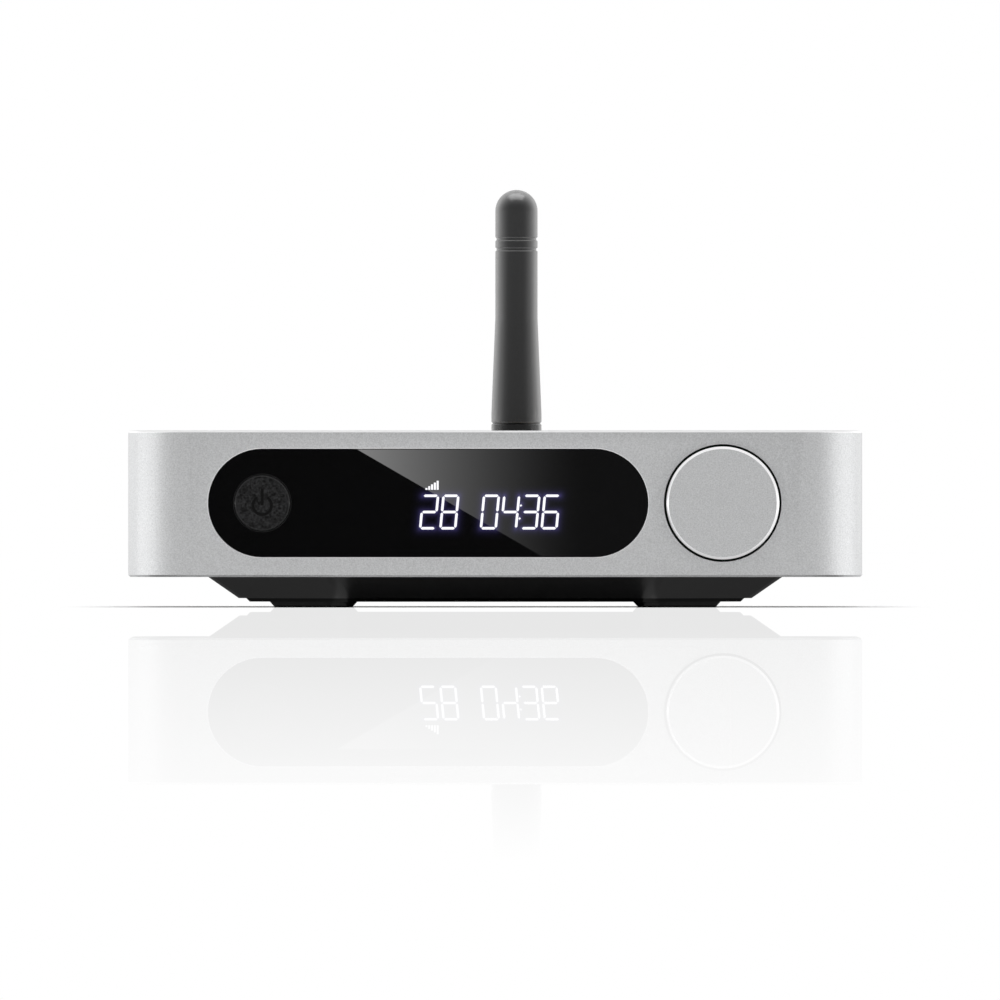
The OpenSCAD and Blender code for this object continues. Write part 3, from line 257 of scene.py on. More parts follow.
# %% [markdown]
# ## Edges that catch the light
# No real edge is perfectly sharp: a mould, a cutter or the blasting leaves a tiny round, and it is
# this round that draws the bright line round a product. A CAD solid arrives as loose triangles, so
# a copy is welded, its flat faces are joined again, and a Bevel modifier rounds what is sharper
# than a set angle. The copy then stands for the solid.

# %% Make a piece and let it ride
def place_piece(piece, body, slot, *replaced):
    """Lets a finished piece ride on its body, in place of the named solids. The slot is not used."""
    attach(piece, body)
    if replaced:
        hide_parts(*replaced)
    return piece


def new_piece(name, mesh, *materials):
    piece = bpy.data.objects.new(name, mesh)
    scene.collection.objects.link(piece)
    for material in materials:
        mesh.materials.append(material)
    return piece


# %% Weld a copy of a solid
WELD = 0.002 * MM
FLAT_ANGLE = math.radians(0.4)
SHARP = math.radians(25)


def welded_copy(node, prepare=None):
    """A welded copy of a CAD node, with its sharp edges marked, that stands for the node."""
    name = node + "_dressed"
    mesh = bpy.data.meshes.new(name)
    shape = bmesh.new()
    shape.from_mesh(nodes[node].data)
    bmesh.ops.remove_doubles(shape, verts=shape.verts, dist=WELD)
    bmesh.ops.dissolve_limit(shape, angle_limit=FLAT_ANGLE, verts=shape.verts, edges=shape.edges)
    if prepare:
        prepare(shape)
    for face in shape.faces:
        face.smooth = True
        face.material_index = 0
    for edge in shape.edges:
        edge.smooth = edge.calc_face_angle(math.pi) < SHARP
    shape.to_mesh(mesh)
    shape.free()
    piece = new_piece(name, mesh, finishes[slot_of[node]])
    return place_piece(piece, body_of[node], slot_of[node], node)


# %% Round edges and paint faces
def round_edges(piece, radius):
    """Rounds the sharp edges of a welded copy by radius, in millimetres."""
    for edge in piece.data.edges:
        edge.use_edge_sharp = False
    bevel = piece.modifiers.new("edge_round", "BEVEL")
    bevel.width = radius * MM
    bevel.segments = 2
    bevel.limit_method = "ANGLE"
    bevel.angle_limit = SHARP
    bevel.use_clamp_overlap = False
    bevel.miter_outer = "MITER_ARC"
    return piece


def keep_flats(piece):
    """Keeps large faces flat where a small round meets them."""
    shading = piece.modifiers.new("flat_faces_stay_flat", "WEIGHTED_NORMAL")
    shading.weight = 100
    shading.keep_sharp = True
    return piece


def paint_faces(piece, material, chosen):
    """Gives a further material to the faces of a piece that the test chooses."""
    piece.data.materials.append(material)
    index = len(piece.data.materials) - 1
    faces = [face for face in piece.data.polygons if chosen(face.center, face.normal)]
    for face in faces:
        face.material_index = index
    print(piece.name, len(faces), "faces of", material.name)
    return faces


# %% Round the rear panel and the feet
EDGE_ROUNDS = {
    "rear_panel": 0.06,
    "foot_front_left": 0.15,
    "foot_front_right": 0.15,
    "foot_rear_left": 0.15,
    "foot_rear_right": 0.15,
}
for node, radius in EDGE_ROUNDS.items():
    keep_flats(round_edges(welded_copy(node), radius))
print("rounded", sorted(EDGE_ROUNDS))

# %% [markdown]
# ## The plinth
# The plinth is one black moulding. Its eight sloping walls meet in soft corners, which show as lighter bands
# in a low light, while its lower edges are nearly sharp. So the sloping corners are bevelled widely in the
# mesh first, and the fine edges follow with a modifier. The plate under it is painted a darker and duller
# black than the plinth, a painted shade for the dark under the case.

# %% Round the plinth's corners
PLINTH_CORNER = 1.6 * MM
PLINTH_EDGE = 0.06
SKIRT_MIN = 3 * MM
SKIRT_TILT = -0.3


def runs_down(edge):
    """Whether an edge lies between two of the sloping walls."""
    drop = abs(edge.verts[0].co.z - edge.verts[1].co.z)
    return drop > SKIRT_MIN and all(face.normal.z < SKIRT_TILT for face in edge.link_faces)


def soften_corners(shape):
    """Bevels the edges that run down between the sloping walls."""
    corners = [edge for edge in shape.edges if runs_down(edge)]
    bmesh.ops.bevel(shape, geom=corners, offset=PLINTH_CORNER, segments=6, affect="EDGES", profile=0.5)
    print("soft corners", len(corners))


PLATE_TOP = 1.9 * MM
# Painted shade: the plate under the plinth gets a darker and duller black than the plinth.
plate_black = finish("plate_black", (0.004, 0.004, 0.004), 0.6, grain=0.25, relief=0.01, spread=0.3,
                     Specular_IOR_Level=0.15)
plinth = welded_copy("base_pan", soften_corners)
paint_faces(plinth, plate_black, lambda centre, normal: centre.z < PLATE_TOP)
keep_flats(round_edges(plinth, PLINTH_EDGE))

# %% [markdown]
# ## The window
# The window is a mirror, and a mirror shows the least bend. Its large face is therefore shaded
# flat, and only the fine round at its edge is smooth.

# %% Make the window
LARGE_FACE = 20 * MM * MM
WINDOW_EDGE = 0.06
window_piece = round_edges(welded_copy("display_window"), WINDOW_EDGE)
for face in window_piece.data.polygons:
    face.use_smooth = face.area < LARGE_FACE
print("window", len(window_piece.data.polygons), "faces")

# %% [markdown]
# ## Bright edges of the case
# After blasting, the edges round the window, round the knob's hole and along the top are cut bright. Their
# pale colour is partly that cut and partly a painted highlight, which keeps them white without a lamp
# overhead.
# They are the faces that lean halfway, between the front and the opening or between the top and a
# side. Shaded smoothly into their neighbours they look round, so that they catch a light on every
# side.

# %% Polish the chamfers of the case
CHAMFER_REACH = 0.25 * MM
OPENING_REACH = 12.5 * MM
LEAN = (0.5, 0.9)
# Partly painted highlight: the cut edges get a paler metal than the blasted case, which keeps them white
# without a lamp overhead.
bright_edge = finish("bright_edge", (0.92, 0.92, 0.925), 0.3, metallic=1, grain=0.2, relief=0, spread=0.02,
                     polish=0.02)
case_piece = keep_flats(welded_copy("case_shell"))


def leans(share):
    """Whether a face leans halfway, from the share of its normal along an axis."""
    return LEAN[0] < share < LEAN[1]


def is_opening_rim(centre, normal):
    near_front = centre.y < front_y + CHAMFER_REACH
    return leans(-normal.y) and near_front and abs(centre.z - control_z) < OPENING_REACH


def is_top_rim(centre, normal):
    return leans(normal.z) and centre.z > case_high.z - CHAMFER_REACH


rim_faces = paint_faces(case_piece, bright_edge, is_opening_rim)
rim_faces += paint_faces(case_piece, bright_edge, is_top_rim)
rim_edges = {key for face in rim_faces for key in face.edge_keys}
for edge in case_piece.data.edges:
    if edge.key in rim_edges:
        edge.use_edge_sharp = False

# %% [markdown]
# ## The power button
# The button is moulded with a fine matte texture. Its chamfer is smooth, so that the light from above draws
# an arc on it. The floor of the engraved sign is painted a darker, duller black, a painted shade in the
# engraving.

# %% Finish the button
BUTTON_EDGE = 0.04
SIGN_DEEP = 0.1 * MM
SIGN_REACH = 4 * MM
button_x = (button_low.x + button_high.x) / 2
button_rim = finish("button_rim", (0.006, 0.006, 0.0065), 0.2, relief=0, spread=0.1, Specular_IOR_Level=0.32)
# Painted shade: the floor of the engraved sign gets a darker and duller black than the button.
sign_black = finish("sign_black", (0.004, 0.004, 0.004), 0.6, relief=0, spread=0.1, Specular_IOR_Level=0.1)


def is_button_rim(centre, normal):
    return leans(-normal.y) and centre.y < window_face_y


def is_sign(centre, normal):
    """Whether a face is the floor of the engraved sign."""
    engraved = button_low.y + SIGN_DEEP < centre.y < window_face_y
    off_axis = (centre - Vector((button_x, centre.y, control_z))).length
    return -normal.y > LEAN[1] and engraved and off_axis < SIGN_REACH


button_piece = welded_copy("power_button")
paint_faces(button_piece, button_rim, is_button_rim)
paint_faces(button_piece, sign_black, is_sign)
keep_flats(round_edges(button_piece, BUTTON_EDGE))

# %% [markdown]
# ## The aerial
# The whip has a soft skin whose sheen is painted into its colour: a Layer Weight node tells how far a point
# turns away from the eye, and mixes in a paler grey towards the outline, a painted sheen. The neck below the
# fine parting groove is a separate moulding, darker and glossier, whose painted sheen starts closer to its
# outline.

# %% Finish the aerial
WHIP_LENGTH = 47.4 * MM


def add_painted_outline_sheen(material, pale, nearest, farthest):
    """Paints a sheen: mixes a paler grey into a material's colour where it turns away from the eye."""
    tree = material.node_tree
    base = tree.nodes["Principled BSDF"].inputs["Base Color"]
    turned_away = tree.nodes.new("ShaderNodeLayerWeight")
    turned_away.inputs["Blend"].default_value = 0.5
    amount = tree.nodes.new("ShaderNodeMapRange")
    amount.interpolation_type = "SMOOTHSTEP"
    amount.inputs["From Min"].default_value = nearest
    amount.inputs["From Max"].default_value = farthest
    painted_sheen = tree.nodes.new("ShaderNodeMix")
    painted_sheen.data_type = "RGBA"
    painted_sheen.inputs["B"].default_value = (pale, pale, pale, 1)
    tree.links.new(turned_away.outputs["Facing"], amount.inputs["Value"])
    tree.links.new(amount.outputs["Result"], painted_sheen.inputs["Factor"])
    tree.links.new(base.links[0].from_socket, painted_sheen.inputs["A"])
    tree.links.new(painted_sheen.outputs["Result"], base)


# Painted sheen: a paler grey in the colour towards the outline of the whip and of the neck.
add_painted_outline_sheen(finishes["aerial_black"], pale=0.25, nearest=0.08, farthest=0.6)
neck_gloss = finish("neck_gloss", (0.003, 0.003, 0.0033), 0.2, relief=0.004, spread=0.1,
                    Specular_IOR_Level=0.35)
add_painted_outline_sheen(neck_gloss, pale=0.25, nearest=0.3, farthest=0.75)
whip_piece = keep_flats(welded_copy("aerial_whip"))
paint_faces(whip_piece, neck_gloss, lambda centre, normal: centre.z < whip_high.z - WHIP_LENGTH)

# %% [markdown]
# ## The knob's polished edge
# The knob's face is blasted like the case, and the chamfer round it is turned bright afterwards, a little
# greyer than the edges of the case. Its pale colour is partly that turned polish and partly a painted
# highlight, which keeps its top white without a lamp overhead. It is painted on the faces that lean halfway.

# %% Polish the chamfer
CHAMFER_DEPTH = 0.7 * MM
KNOB_EDGE = 0.04
# Partly painted highlight: the turned chamfer gets a paler metal than the blasted knob, which keeps its top
# white without a lamp overhead.
turned_edge = finish("turned_edge", (0.9, 0.9, 0.905), 0.3, metallic=1, grain=0.2, relief=0, spread=0.02,
                     polish=0.02)
knob_piece = welded_copy("volume_knob")
chamfer_end = knob_low.y + CHAMFER_DEPTH
paint_faces(knob_piece, turned_edge, lambda centre, normal: leans(-normal.y) and centre.y < chamfer_end)
keep_flats(round_edges(knob_piece, KNOB_EDGE))

# %% [markdown]
# ## Fine ribs for the fingers
# The aerial's nut is ribbed so that fingers can tighten it. The ribs are all alike and sit on a
# circle, which is a job for Geometry Nodes: a circle of points, a four-sided bar on each, turned
# to point outwards, with all the sizes as inputs.

# %% Build the tree for a ring of ribs
def make_rib_tree():
    tree = bpy.data.node_groups.new("ring_of_ribs", "GeometryNodeTree")
    add_socket(tree, "Geometry", "NodeSocketGeometry", way="OUTPUT")
    add_socket(tree, "Count", "NodeSocketInt", 90)
    for name in ("Ring Radius", "Rib Radius", "Rib Length"):
        add_socket(tree, name, "NodeSocketFloat", 1 * MM)
    add_socket(tree, "Centre", "NodeSocketVector")
    add_socket(tree, "Finish", "NodeSocketMaterial")
    new, link = tree.nodes.new, tree.links.new
    group_in, group_out = new("NodeGroupInput"), new("NodeGroupOutput")
    ring = new("GeometryNodeMeshCircle")
    link(group_in.outputs["Count"], ring.inputs["Vertices"])
    link(group_in.outputs["Ring Radius"], ring.inputs["Radius"])
    rib = new("GeometryNodeMeshCylinder")
    rib.inputs["Vertices"].default_value = 4
    link(group_in.outputs["Rib Radius"], rib.inputs["Radius"])
    link(group_in.outputs["Rib Length"], rib.inputs["Depth"])
    outwards = new("FunctionNodeAlignRotationToVector")
    outwards.axis = "X"
    link(new("GeometryNodeInputPosition").outputs[0], outwards.inputs["Vector"])
    copies = new("GeometryNodeInstanceOnPoints")
    link(ring.outputs["Mesh"], copies.inputs["Points"])
    link(rib.outputs["Mesh"], copies.inputs["Instance"])
    link(outwards.outputs["Rotation"], copies.inputs["Rotation"])
    turned = new("GeometryNodeTransform")
    turned.inputs["Rotation"].default_value = (math.pi / 2, 0, 0)
    link(copies.outputs["Instances"], turned.inputs["Geometry"])
    link(group_in.outputs["Centre"], turned.inputs["Translation"])
    real = new("GeometryNodeRealizeInstances")
    link(turned.outputs["Geometry"], real.inputs["Geometry"])
    painted = new("GeometryNodeSetMaterial")
    link(real.outputs["Geometry"], painted.inputs["Geometry"])
    link(group_in.outputs["Finish"], painted.inputs["Material"])
    link(painted.outputs["Geometry"], group_out.inputs["Geometry"])
    return tree


rib_tree = make_rib_tree()
print("tree", rib_tree.name)


# %% Grow a piece from a tree
def grown_piece(name, tree, values, material):
    """Runs a Geometry Nodes tree with the given inputs and keeps the result as a plain mesh."""
    piece = new_piece(name, bpy.data.meshes.new(name))
    modifier = piece.modifiers.new(name, "NODES")
    modifier.node_group = tree
    for item in tree.interface.items_tree:
        if item.in_out == "INPUT":
            modifier[item.identifier] = {**values, "Finish": material}[item.name]
    bpy.context.view_layer.update()
    depsgraph = bpy.context.evaluated_depsgraph_get()
    mesh = bpy.data.meshes.new_from_object(piece.evaluated_get(depsgraph))
    piece.modifiers.clear()
    piece.data = mesh
    print(name, len(mesh.polygons), "faces")
    return piece


# %% Put ribs on the aerial's nut
NUT_RIBS = 48
NUT_RIB_R = 0.2 * MM
NUT_RIB_MARGIN = 1.4 * MM
nut_r = (nut_high.x - nut_low.x) / 2
nut_ribs = grown_piece("coupling_nut_ribs", rib_tree, {
    "Count": NUT_RIBS, "Ring Radius": nut_r - NUT_RIB_R / 2, "Rib Radius": NUT_RIB_R,
    "Rib Length": nut_high.y - nut_low.y - 2 * NUT_RIB_MARGIN,
    "Centre": (nut_low + nut_high) / 2,
}, finishes[slot_of["aerial_coupling_nut"]])
place_piece(nut_ribs, "chassis", slot_of["aerial_coupling_nut"])

# %% [markdown]
# ## The lit display
# Behind the black window lies a display of slanted seven-bar figures. A figure is drawn by
# switching on some of seven bars, so one short table of bars per figure is all it takes. Each bar
# is a flat bar with pointed ends, and it shows through the window as plain white light.

# %% Draw the figures
FIGURE_H = 6.5 * MM
FIGURE_W = 2.95 * MM
FIGURE_PITCH = 4.05 * MM
FIGURE_LEFT = -15.0 * MM
FIGURE_LOW = 15.85 * MM
SLANT = math.tan(math.radians(5.5))
BAR_W = 0.5 * MM
BAR_GAP = 0.09 * MM
LIFT = 0.04 * MM
BARS = {
    "top": ((0, 2), (1, 2)), "upper_left": ((0, 1), (0, 2)), "upper_right": ((1, 1), (1, 2)),
    "middle": ((0, 1), (1, 1)), "lower_left": ((0, 0), (0, 1)), "lower_right": ((1, 0), (1, 1)),
    "bottom": ((0, 0), (1, 0)),
}
UNLIT = {
    "0": ["middle"], "2": ["upper_left", "lower_right"], "3": ["upper_left", "lower_left"],
    "4": ["top", "lower_left", "bottom"], "6": ["upper_right"], "8": [], " ": list(BARS),
}
SHOWN = "28 0436"
COLON_AFTER = 4
COLON_HEIGHTS = (0.3, 0.7)
print("figures", SHOWN)


# %% Work out the lit bars
def window_point(point, lift):
    """A point on the window's face, leaning with the slant of the figures."""
    return Vector((point.x + (point.y - FIGURE_LOW) * SLANT, window_face_y - lift, point.y))


def bar_outline(start, end):
    """The six corners of a bar with pointed ends, between two corners of a figure."""
    along = (end - start).normalized()
    across = Vector((-along.y, along.x)) * BAR_W / 2
    point = along * BAR_W / 2
    start, end = start + along * BAR_GAP, end - along * BAR_GAP
    lower = [start + point - across, end - point - across]
    upper = [end - point + across, start + point + across]
    return [start, *lower, end, *upper]


lit_bars = []
for cell, sign in enumerate(SHOWN):
    corner = Vector((FIGURE_LEFT + cell * FIGURE_PITCH, FIGURE_LOW))
    for bar, ends in BARS.items():
        if bar not in UNLIT[sign]:
            lit_bars.append([corner + Vector((x * FIGURE_W, z * FIGURE_H / 2)) for x, z in ends])
colon_x = FIGURE_LEFT + COLON_AFTER * FIGURE_PITCH + (FIGURE_PITCH + FIGURE_W) / 2
for share in COLON_HEIGHTS:
    dot = Vector((colon_x, FIGURE_LOW + share * FIGURE_H))
    reach = Vector((0, BAR_W / 2 + BAR_GAP))
    lit_bars.append([dot - reach, dot + reach])
print(len(lit_bars), "lit bars")


# %% Turn the bars into light
def flat_mesh(name, outlines):
    """A mesh of flat faces, one for each outline of points."""
    mesh = bpy.data.meshes.new(name)
    shape = bmesh.new()
    for outline in outlines:
        shape.faces.new([shape.verts.new(point) for point in outline])
    shape.normal_update()
    for face in shape.faces:
        if face.normal.y > 0:
            face.normal_flip()
    shape.to_mesh(mesh)
    shape.free()
    return mesh


def lamp_finish(name, colour, strength):
    """A surface that shines by itself, over smooth black plastic."""
    material = finish(name, (0.02, 0.02, 0.02), 0.3, relief=0)
    shader = material.node_tree.nodes["Principled BSDF"]
    shader.inputs["Emission Color"].default_value = (*colour, 1)
    shader.inputs["Emission Strength"].default_value = strength
    return material


DISPLAY_COLOUR = (0.95, 0.95, 1.0)
DISPLAY_STRENGTH = 1.1
display_white = lamp_finish("display_white", DISPLAY_COLOUR, DISPLAY_STRENGTH)
figures = new_piece("display_figures", flat_mesh("display_figures", [
    [window_point(point, LIFT) for point in bar_outline(start, end)] for start, end in lit_bars
]), display_white)
place_piece(figures, "chassis", "window_black")
print("display figures", len(figures.data.polygons), "faces")

# %% [markdown]
# ## The glow round the figures
# Light that spreads inside the window leaves a faint violet glow round each bar. It could be faked
# with blurred copies, but a fine sheet over the figures' field is simpler: each of its points
# measures how far the nearest bar is, keeps that as an attribute, and the material turns it into
# light. The sheet is otherwise the same black gloss as the window, so reflections run on over it.

# %% Measure the glow
GLOW_STEP = 0.2 * MM
GLOW_MARGIN = 2.2 * MM
GLOW_REACH = 0.42 * MM


def bar_distance(point):
    """How far a point is from the nearest lit bar."""
    best = 1.0
    for start, end in lit_bars:
        along = end - start
        share = min(max((point - start).dot(along) / along.length_squared, 0), 1)
        best = min(best, (start + along * share - point).length)
    return best


glow_mesh = bpy.data.meshes.new("display_glow")
sheet_w = len(SHOWN) * FIGURE_PITCH + 2 * GLOW_MARGIN
sheet_h = FIGURE_H + 2 * GLOW_MARGIN
columns, rows = round(sheet_w / GLOW_STEP), round(sheet_h / GLOW_STEP)
flat_points = [
    Vector((FIGURE_LEFT - GLOW_MARGIN + i * GLOW_STEP, FIGURE_LOW - GLOW_MARGIN + j * GLOW_STEP))
    for j in range(rows + 1) for i in range(columns + 1)
]
quads = []
for j in range(rows):
    for i in range(columns):
        a = j * (columns + 1) + i
        quads.append((a, a + 1, a + columns + 2, a + columns + 1))
glow_mesh.from_pydata([window_point(point, LIFT / 2) for point in flat_points], [], quads)
glow = glow_mesh.attributes.new("glow", "FLOAT", "POINT")
for i, point in enumerate(flat_points):
    glow.data[i].value = math.exp(-bar_distance(point) / GLOW_REACH)
print("glow sheet", columns, "by", rows)

# %% Turn the glow into light
GLOW_VIOLET = (0.05, 0.042, 0.15, 1)
glow_black = finish("glow_black", FINISHES["window_black"]["colour"], 0, relief=0, spread=0.1, polish=0)
glow_tree = glow_black.node_tree
glow_value = glow_tree.nodes.new("ShaderNodeAttribute")
glow_value.attribute_name = "glow"
glow_colour = glow_tree.nodes.new("ShaderNodeMix")
glow_colour.data_type = "RGBA"
glow_colour.inputs["A"].default_value = (0, 0, 0, 1)
glow_colour.inputs["B"].default_value = GLOW_VIOLET
glow_shader = glow_tree.nodes["Principled BSDF"]
glow_tree.links.new(glow_value.outputs["Fac"], glow_colour.inputs["Factor"])
glow_tree.links.new(glow_colour.outputs["Result"], glow_shader.inputs["Emission Color"])
glow_shader.inputs["Emission Strength"].default_value = 1
place_piece(new_piece("display_glow", glow_mesh, glow_black), "chassis", "window_black")
print("glow finish", glow_black.name)

# %% [markdown]
# ## The signal sign
# Five bars that grow from left to right show the strength of the radio signal. They follow one
# rule, so a second small tree makes them: a line of points, a flat bar on each, and a height that
# grows with the number of the point.

# %% Build the tree for rising bars
def make_signal_tree():
    tree = bpy.data.node_groups.new("rising_bars", "GeometryNodeTree")
    add_socket(tree, "Geometry", "NodeSocketGeometry", way="OUTPUT")
    add_socket(tree, "Count", "NodeSocketInt", 5)
    for name in ("Pitch", "Bar Width", "First Height", "Growth"):
        add_socket(tree, name, "NodeSocketFloat", 1 * MM)
    add_socket(tree, "Start", "NodeSocketVector")
    add_socket(tree, "Finish", "NodeSocketMaterial")
    new, link = tree.nodes.new, tree.links.new
    group_in, group_out = new("NodeGroupInput"), new("NodeGroupOutput")

    def joined(a, b, operation):
        node = new("ShaderNodeMath")
        node.operation = operation
        link(a, node.inputs[0])
        link(b, node.inputs[1])
        return node.outputs[0]

    step = new("ShaderNodeCombineXYZ")
    link(group_in.outputs["Pitch"], step.inputs["X"])
    line = new("GeometryNodeMeshLine")
    link(group_in.outputs["Count"], line.inputs["Count"])
    link(group_in.outputs["Start"], line.inputs["Start Location"])
    link(step.outputs[0], line.inputs["Offset"])
    unit = new("GeometryNodeMeshGrid")
    for name, value in (("Size X", 1), ("Size Y", 1), ("Vertices X", 2), ("Vertices Y", 2)):
        unit.inputs[name].default_value = value
    upright = new("GeometryNodeTransform")
    upright.inputs["Rotation"].default_value = (math.pi / 2, 0, 0)
    upright.inputs["Translation"].default_value = (0, 0, 0.5)
    link(unit.outputs["Mesh"], upright.inputs["Geometry"])
    grown = joined(new("GeometryNodeInputIndex").outputs[0], group_in.outputs["Growth"], "MULTIPLY")
    height = joined(grown, group_in.outputs["First Height"], "ADD")
    size = new("ShaderNodeCombineXYZ")
    size.inputs["Y"].default_value = 1
    link(group_in.outputs["Bar Width"], size.inputs["X"])
    link(height, size.inputs["Z"])
    copies = new("GeometryNodeInstanceOnPoints")
    link(line.outputs["Mesh"], copies.inputs["Points"])
    link(upright.outputs["Geometry"], copies.inputs["Instance"])
    link(size.outputs[0], copies.inputs["Scale"])
    real = new("GeometryNodeRealizeInstances")
    link(copies.outputs["Instances"], real.inputs["Geometry"])
    painted = new("GeometryNodeSetMaterial")
    link(real.outputs["Geometry"], painted.inputs["Geometry"])
    link(group_in.outputs["Finish"], painted.inputs["Material"])
    link(painted.outputs["Geometry"], group_out.inputs["Geometry"])
    return tree


signal_tree = make_signal_tree()
print("tree", signal_tree.name)

# %% Grow the signal bars
SIGNAL_LEFT = -13.75 * MM
SIGNAL_LOW = 23.55 * MM
signal_bars = grown_piece("signal_bars", signal_tree, {
    "Count": 5, "Pitch": 0.56 * MM, "Bar Width": 0.4 * MM,
    "First Height": 0.35 * MM, "Growth": 0.36 * MM,
    "Start": (SIGNAL_LEFT, window_face_y - LIFT, SIGNAL_LOW),
}, display_white)
place_piece(signal_bars, "chassis", "window_black")

# %% [markdown]
# ## The network socket
# The socket is a plated shield round a core of black plastic. In the CAD model the two are one
# solid, so the walls inside its mouth are painted as the core.

# %% Blacken the mouth of the network socket
MOUTH_INSET = 0.1 * MM
core_black = finish("lan_core_black", (0.012, 0.012, 0.0125), 0.5, grain=0.25, relief=0.01, spread=0.2)


def is_mouth_wall(centre, normal):
    """Whether a face lies inside the socket, away from all its outer faces."""
    places = zip(lan_low, centre, lan_high)
    return all(low + MOUTH_INSET < at < high - MOUTH_INSET for low, at, high in places)


lan_piece = keep_flats(welded_copy("lan_socket"))
paint_faces(lan_piece, core_black, is_mouth_wall)

# %% [markdown]
# ## Network lamps
# A network socket has two small lamps in its face, one green and one amber, that show a link and
# its traffic. Each is a lens that stands a hair proud of the shield: a bevelled block.

# %% Set the lamps into the network socket
LENS_W = 2.6 * MM
LENS_H = 1.7 * MM
LENS_DEEP = 0.6 * MM
LENS_PROUD = 0.12 * MM
LENS_INSET = 0.5 * MM
LENS_ROUND = 0.15 * MM


def lens(name, x, material):
    """A small lens in the socket's face, at x."""
    mesh = bpy.data.meshes.new(name)
    shape = bmesh.new()
    z = lan_low.z + LENS_INSET + LENS_H / 2
    at = Matrix.Translation((x, lan_high.y + LENS_PROUD - LENS_DEEP / 2, z))
    bmesh.ops.create_cube(shape, matrix=at @ Matrix.Diagonal((LENS_W, LENS_DEEP, LENS_H, 1)))
    bmesh.ops.bevel(shape, geom=shape.edges[:], offset=LENS_ROUND, segments=3, affect="EDGES", profile=0.5)
    shape.to_mesh(mesh)
    shape.free()
    return place_piece(new_piece(name, mesh, material), "chassis", "plated_steel")


lens_x = LENS_INSET + LENS_W / 2
lens("lamp_green", lan_low.x + lens_x, finish("lens_green", (0.05, 0.5, 0.12), 0.25, relief=0))
lens("lamp_amber", lan_high.x - lens_x, finish("lens_amber", (0.75, 0.33, 0.03), 0.25, relief=0))
print("network lamps at", lan_low.x + lens_x, lan_high.x - lens_x)

# %% [markdown]
# ## Helpers for the floor, the room and the cards
# The floor, the room and the cards are shaders that mix two others by a number. A few helpers keep
# their trees short: one mixes, one reckons, and one tells the rays that a viewer follows, straight
# or by a mirror or through glass, from the rays that only carry light.

# %% Define the helpers
def mix_shader(tree, factor, first, second):
    node = tree.nodes.new("ShaderNodeMixShader")
    for socket, value in zip(node.inputs, (factor, first, second)):
        tree.links.new(value, socket)
    return node.outputs[0]


def add_math(tree, operation, *values):
    """A Math node whose inputs are numbers or other sockets."""
    node = tree.nodes.new("ShaderNodeMath")
    node.operation = operation
    for socket, value in zip(node.inputs, values):
        if isinstance(value, (int, float)):
            socket.default_value = value
        else:
            tree.links.new(value, socket)
    return node.outputs[0]


def seen_rays(tree):
    """1 for rays that come from the camera, a mirror or glass."""
    path = tree.nodes.new("ShaderNodeLightPath").outputs
    total = add_math(tree, "ADD", path["Is Camera Ray"], path["Is Glossy Ray"])
    total = add_math(tree, "ADD", total, path["Is Transmission Ray"])
    return add_math(tree, "MINIMUM", total, 1)


def card(name, corners, material):
    """A flat sheet round the object, attached to none of its bodies."""
    mesh = bpy.data.meshes.new(name)
    mesh.from_pydata(corners, [], [tuple(range(len(corners)))])
    piece = new_piece(name, mesh, material)
    return piece


# %% [markdown]
# ## The table
# The object stands on a white lacquered table that runs out into a white room. Close round the case
# the table takes light and shadow as they fall. Further out it turns to plain white, so that it
# meets the room without a seam. How far out a point lies is reckoned from the case's footprint, with
# a chain of Vector Math nodes.

# %% Whiten the table away from the case
SHADOW_REACH = 2 * MM
WHITE_FROM = 15 * MM
LACQUER_WHITE = (0.97, 0.97, 0.97, 1)
floor_white = bpy.data.materials.new("floor_white")
floor_white.use_nodes = True
floor_tree = floor_white.node_tree
floor_tree.nodes.remove(floor_tree.nodes["Principled BSDF"])
lit = floor_tree.nodes.new("ShaderNodeBsdfDiffuse")
lit.inputs["Color"].default_value = LACQUER_WHITE
plain = floor_tree.nodes.new("ShaderNodeEmission")
place = floor_tree.nodes.new("ShaderNodeTexCoord").outputs["Object"]
footprint = (case_low + case_high) / 2
footprint.z = 0
half_size = (case_high - case_low) / 2
outside = place
for operation, value in (("SUBTRACT", footprint), ("ABSOLUTE", None), ("SUBTRACT", half_size),
                         ("MAXIMUM", (0, 0, 0)), ("LENGTH", None)):
    step = floor_tree.nodes.new("ShaderNodeVectorMath")
    step.operation = operation
    floor_tree.links.new(outside, step.inputs[0])
    if value is not None:
        step.inputs[1].default_value = value
    outside = step.outputs["Value" if operation == "LENGTH" else "Vector"]
far = floor_tree.nodes.new("ShaderNodeMapRange")
far.interpolation_type = "SMOOTHSTEP"
far.inputs["From Min"].default_value = SHADOW_REACH
far.inputs["From Max"].default_value = WHITE_FROM
floor_tree.links.new(outside, far.inputs["Value"])
whiten = add_math(floor_tree, "MULTIPLY", far.outputs["Result"], seen_rays(floor_tree))
table = mix_shader(floor_tree, whiten, lit.outputs[0], plain.outputs[0])
print("table white from", WHITE_FROM / MM, "mm outside the case")

# %% [markdown]
# ## The mirror image in the lacquer
# Lacquer gives a faint mirror image where it is seen at a flat angle, and none where it is seen more
# steeply, which is further out on the table. So a sharp mirror is mixed in, and its share falls with
# the distance from the object.

